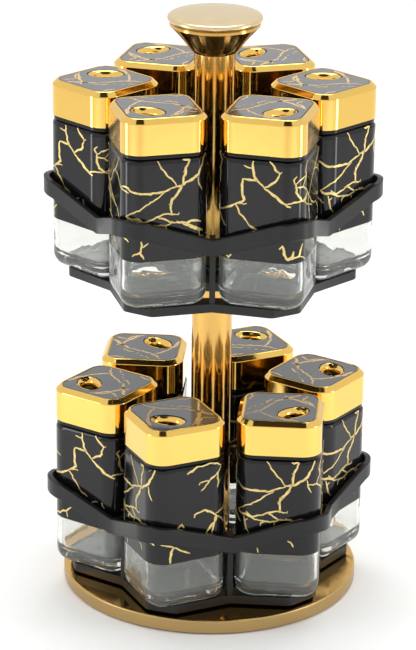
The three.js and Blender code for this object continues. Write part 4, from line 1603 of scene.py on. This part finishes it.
class CAROUSEL_OT_stage(Operator):
    """Makes the floor, the soft lights and the camera."""

    bl_idname = "carousel.stage"
    bl_label = "Stage"

    def execute(self, context):
        scene = context.scene
        scene.view_settings.view_transform = "Standard"
        middle = Vector((0, 0, (cad_low.z + cad_high.z) / 2))

        bm = bmesh.new()
        bmesh.ops.create_grid(bm, x_segments=1, y_segments=1, size=6.0)
        mesh = bpy.data.meshes.new("floor")
        bm.to_mesh(mesh)
        bm.free()
        mesh.materials.append(finish("studio_paper"))
        floor = bpy.data.objects.new("floor", mesh)
        scene.collection.objects.link(floor)
        floor.location = (0, 0, cad_low.z - 0.1 * MM)

        world = bpy.data.worlds.new("studio")
        scene.world = world
        world.use_nodes = True
        # An even white room, with a dark gap overhead where the camera's stand would be.
        tree = world.node_tree
        background = tree.nodes["Background"]
        background.inputs["Strength"].default_value = 0.98
        sky = add_node(tree, "ShaderNodeTexCoord").outputs["Generated"]
        toward = add_node(tree, "ShaderNodeVectorMath", {"operation": "DOT_PRODUCT"}, [(sky, 0)])
        toward.inputs[1].default_value = (0.0, -0.3, 0.954)
        gap = add_range(tree, toward.outputs["Value"], 0.958, 0.968)
        tones = add_tones(tree, gap, 0.0, linear("F3F3F2"), 1.0, linear("3A3632"))
        tree.links.new(tones, background.inputs["Color"])

        add_softbox("top_softbox", (0.0, 0.5, 1.8), (0, 0.3, 0), (1.2, 1.2), 19)
        for side in (-1, 1):
            over_floor, on_floor = (0.62 * side, -0.8, 0.9), (0.52 * side, -0.72, 0)
            pool = add_softbox(f"floor_softbox_{side}", over_floor, on_floor, (0.3, 0.3), 0.9)
            pool.data.spread = math.radians(75)
            beside = (0.62 * side, -0.16, 0.3)
            strip = add_softbox(f"strip_softbox_{side}", beside, middle, (0.12, 0.5), 0.9)
            strip.visible_camera = False

        camera_data = bpy.data.cameras.new("camera")
        camera = bpy.data.objects.new("camera", camera_data)
        scene.collection.objects.link(camera)
        scene.camera = camera
        # The lens and stand-off that show the rack from a little above its knob.
        camera_data.sensor_width = 36.0
        camera_data.lens = 167.5
        camera_data.clip_start, camera_data.clip_end = 0.05, 50.0
        distance, height = 1.7542, 0.8295
        pitch, yaw, roll = math.radians(20.678), math.radians(-0.078), math.radians(0.607)
        forward = Vector((math.sin(yaw) * math.cos(pitch), math.cos(yaw) * math.cos(pitch), -math.sin(pitch)))
        across = forward.cross(Vector((0, 0, 1))).normalized()
        up = across.cross(forward)
        right = across * math.cos(roll) + up * math.sin(roll)
        top = right.cross(forward)
        turn = Matrix((right, top, -forward)).transposed().to_4x4()
        camera.matrix_world = Matrix.Translation((0, -distance, height)) @ turn
        return {"FINISHED"}


class CAROUSEL_PT_panel(Panel):
    """Lists the pieces of the carousel."""

    bl_idname = "CAROUSEL_PT_panel"
    bl_label = "Spice carousel"
    bl_space_type = "VIEW_3D"
    bl_region_type = "UI"
    bl_category = "Carousel"

    def draw(self, context):
        layout = self.layout
        for setting in SETTINGS:
            box = layout.box()
            group = getattr(context.scene, setting)
            for name in group.__annotations__:
                box.prop(group, name)
        for operator in PIECES:
            layout.operator(operator.bl_idname)


PIECES = (
    CAROUSEL_OT_stage,
    CAROUSEL_OT_foot,
    CAROUSEL_OT_post,
    CAROUSEL_OT_knob,
    CAROUSEL_OT_tiers,
    CAROUSEL_OT_jars,
    CAROUSEL_OT_inserts,
    CAROUSEL_OT_caps,
    CAROUSEL_OT_plates,
)


def register():
    for settings in SETTINGS.values():
        bpy.utils.register_class(settings)
    for name, settings in SETTINGS.items():
        setattr(bpy.types.Scene, name, PointerProperty(type=settings))
    for made in (*PIECES, CAROUSEL_PT_panel):
        bpy.utils.register_class(made)


def unregister():
    for made in (CAROUSEL_PT_panel, *reversed(PIECES)):
        bpy.utils.unregister_class(made)
    for name, settings in SETTINGS.items():
        delattr(bpy.types.Scene, name)
        bpy.utils.unregister_class(settings)


def main():
    register()
    bpy.ops.carousel.stage()
    bpy.ops.carousel.foot()
    bpy.ops.carousel.post()
    bpy.ops.carousel.knob()
    bpy.ops.carousel.tiers()
    bpy.ops.carousel.jars()
    bpy.ops.carousel.inserts()
    bpy.ops.carousel.caps()
    bpy.ops.carousel.plates()


if __name__ == "__main__":
    main()
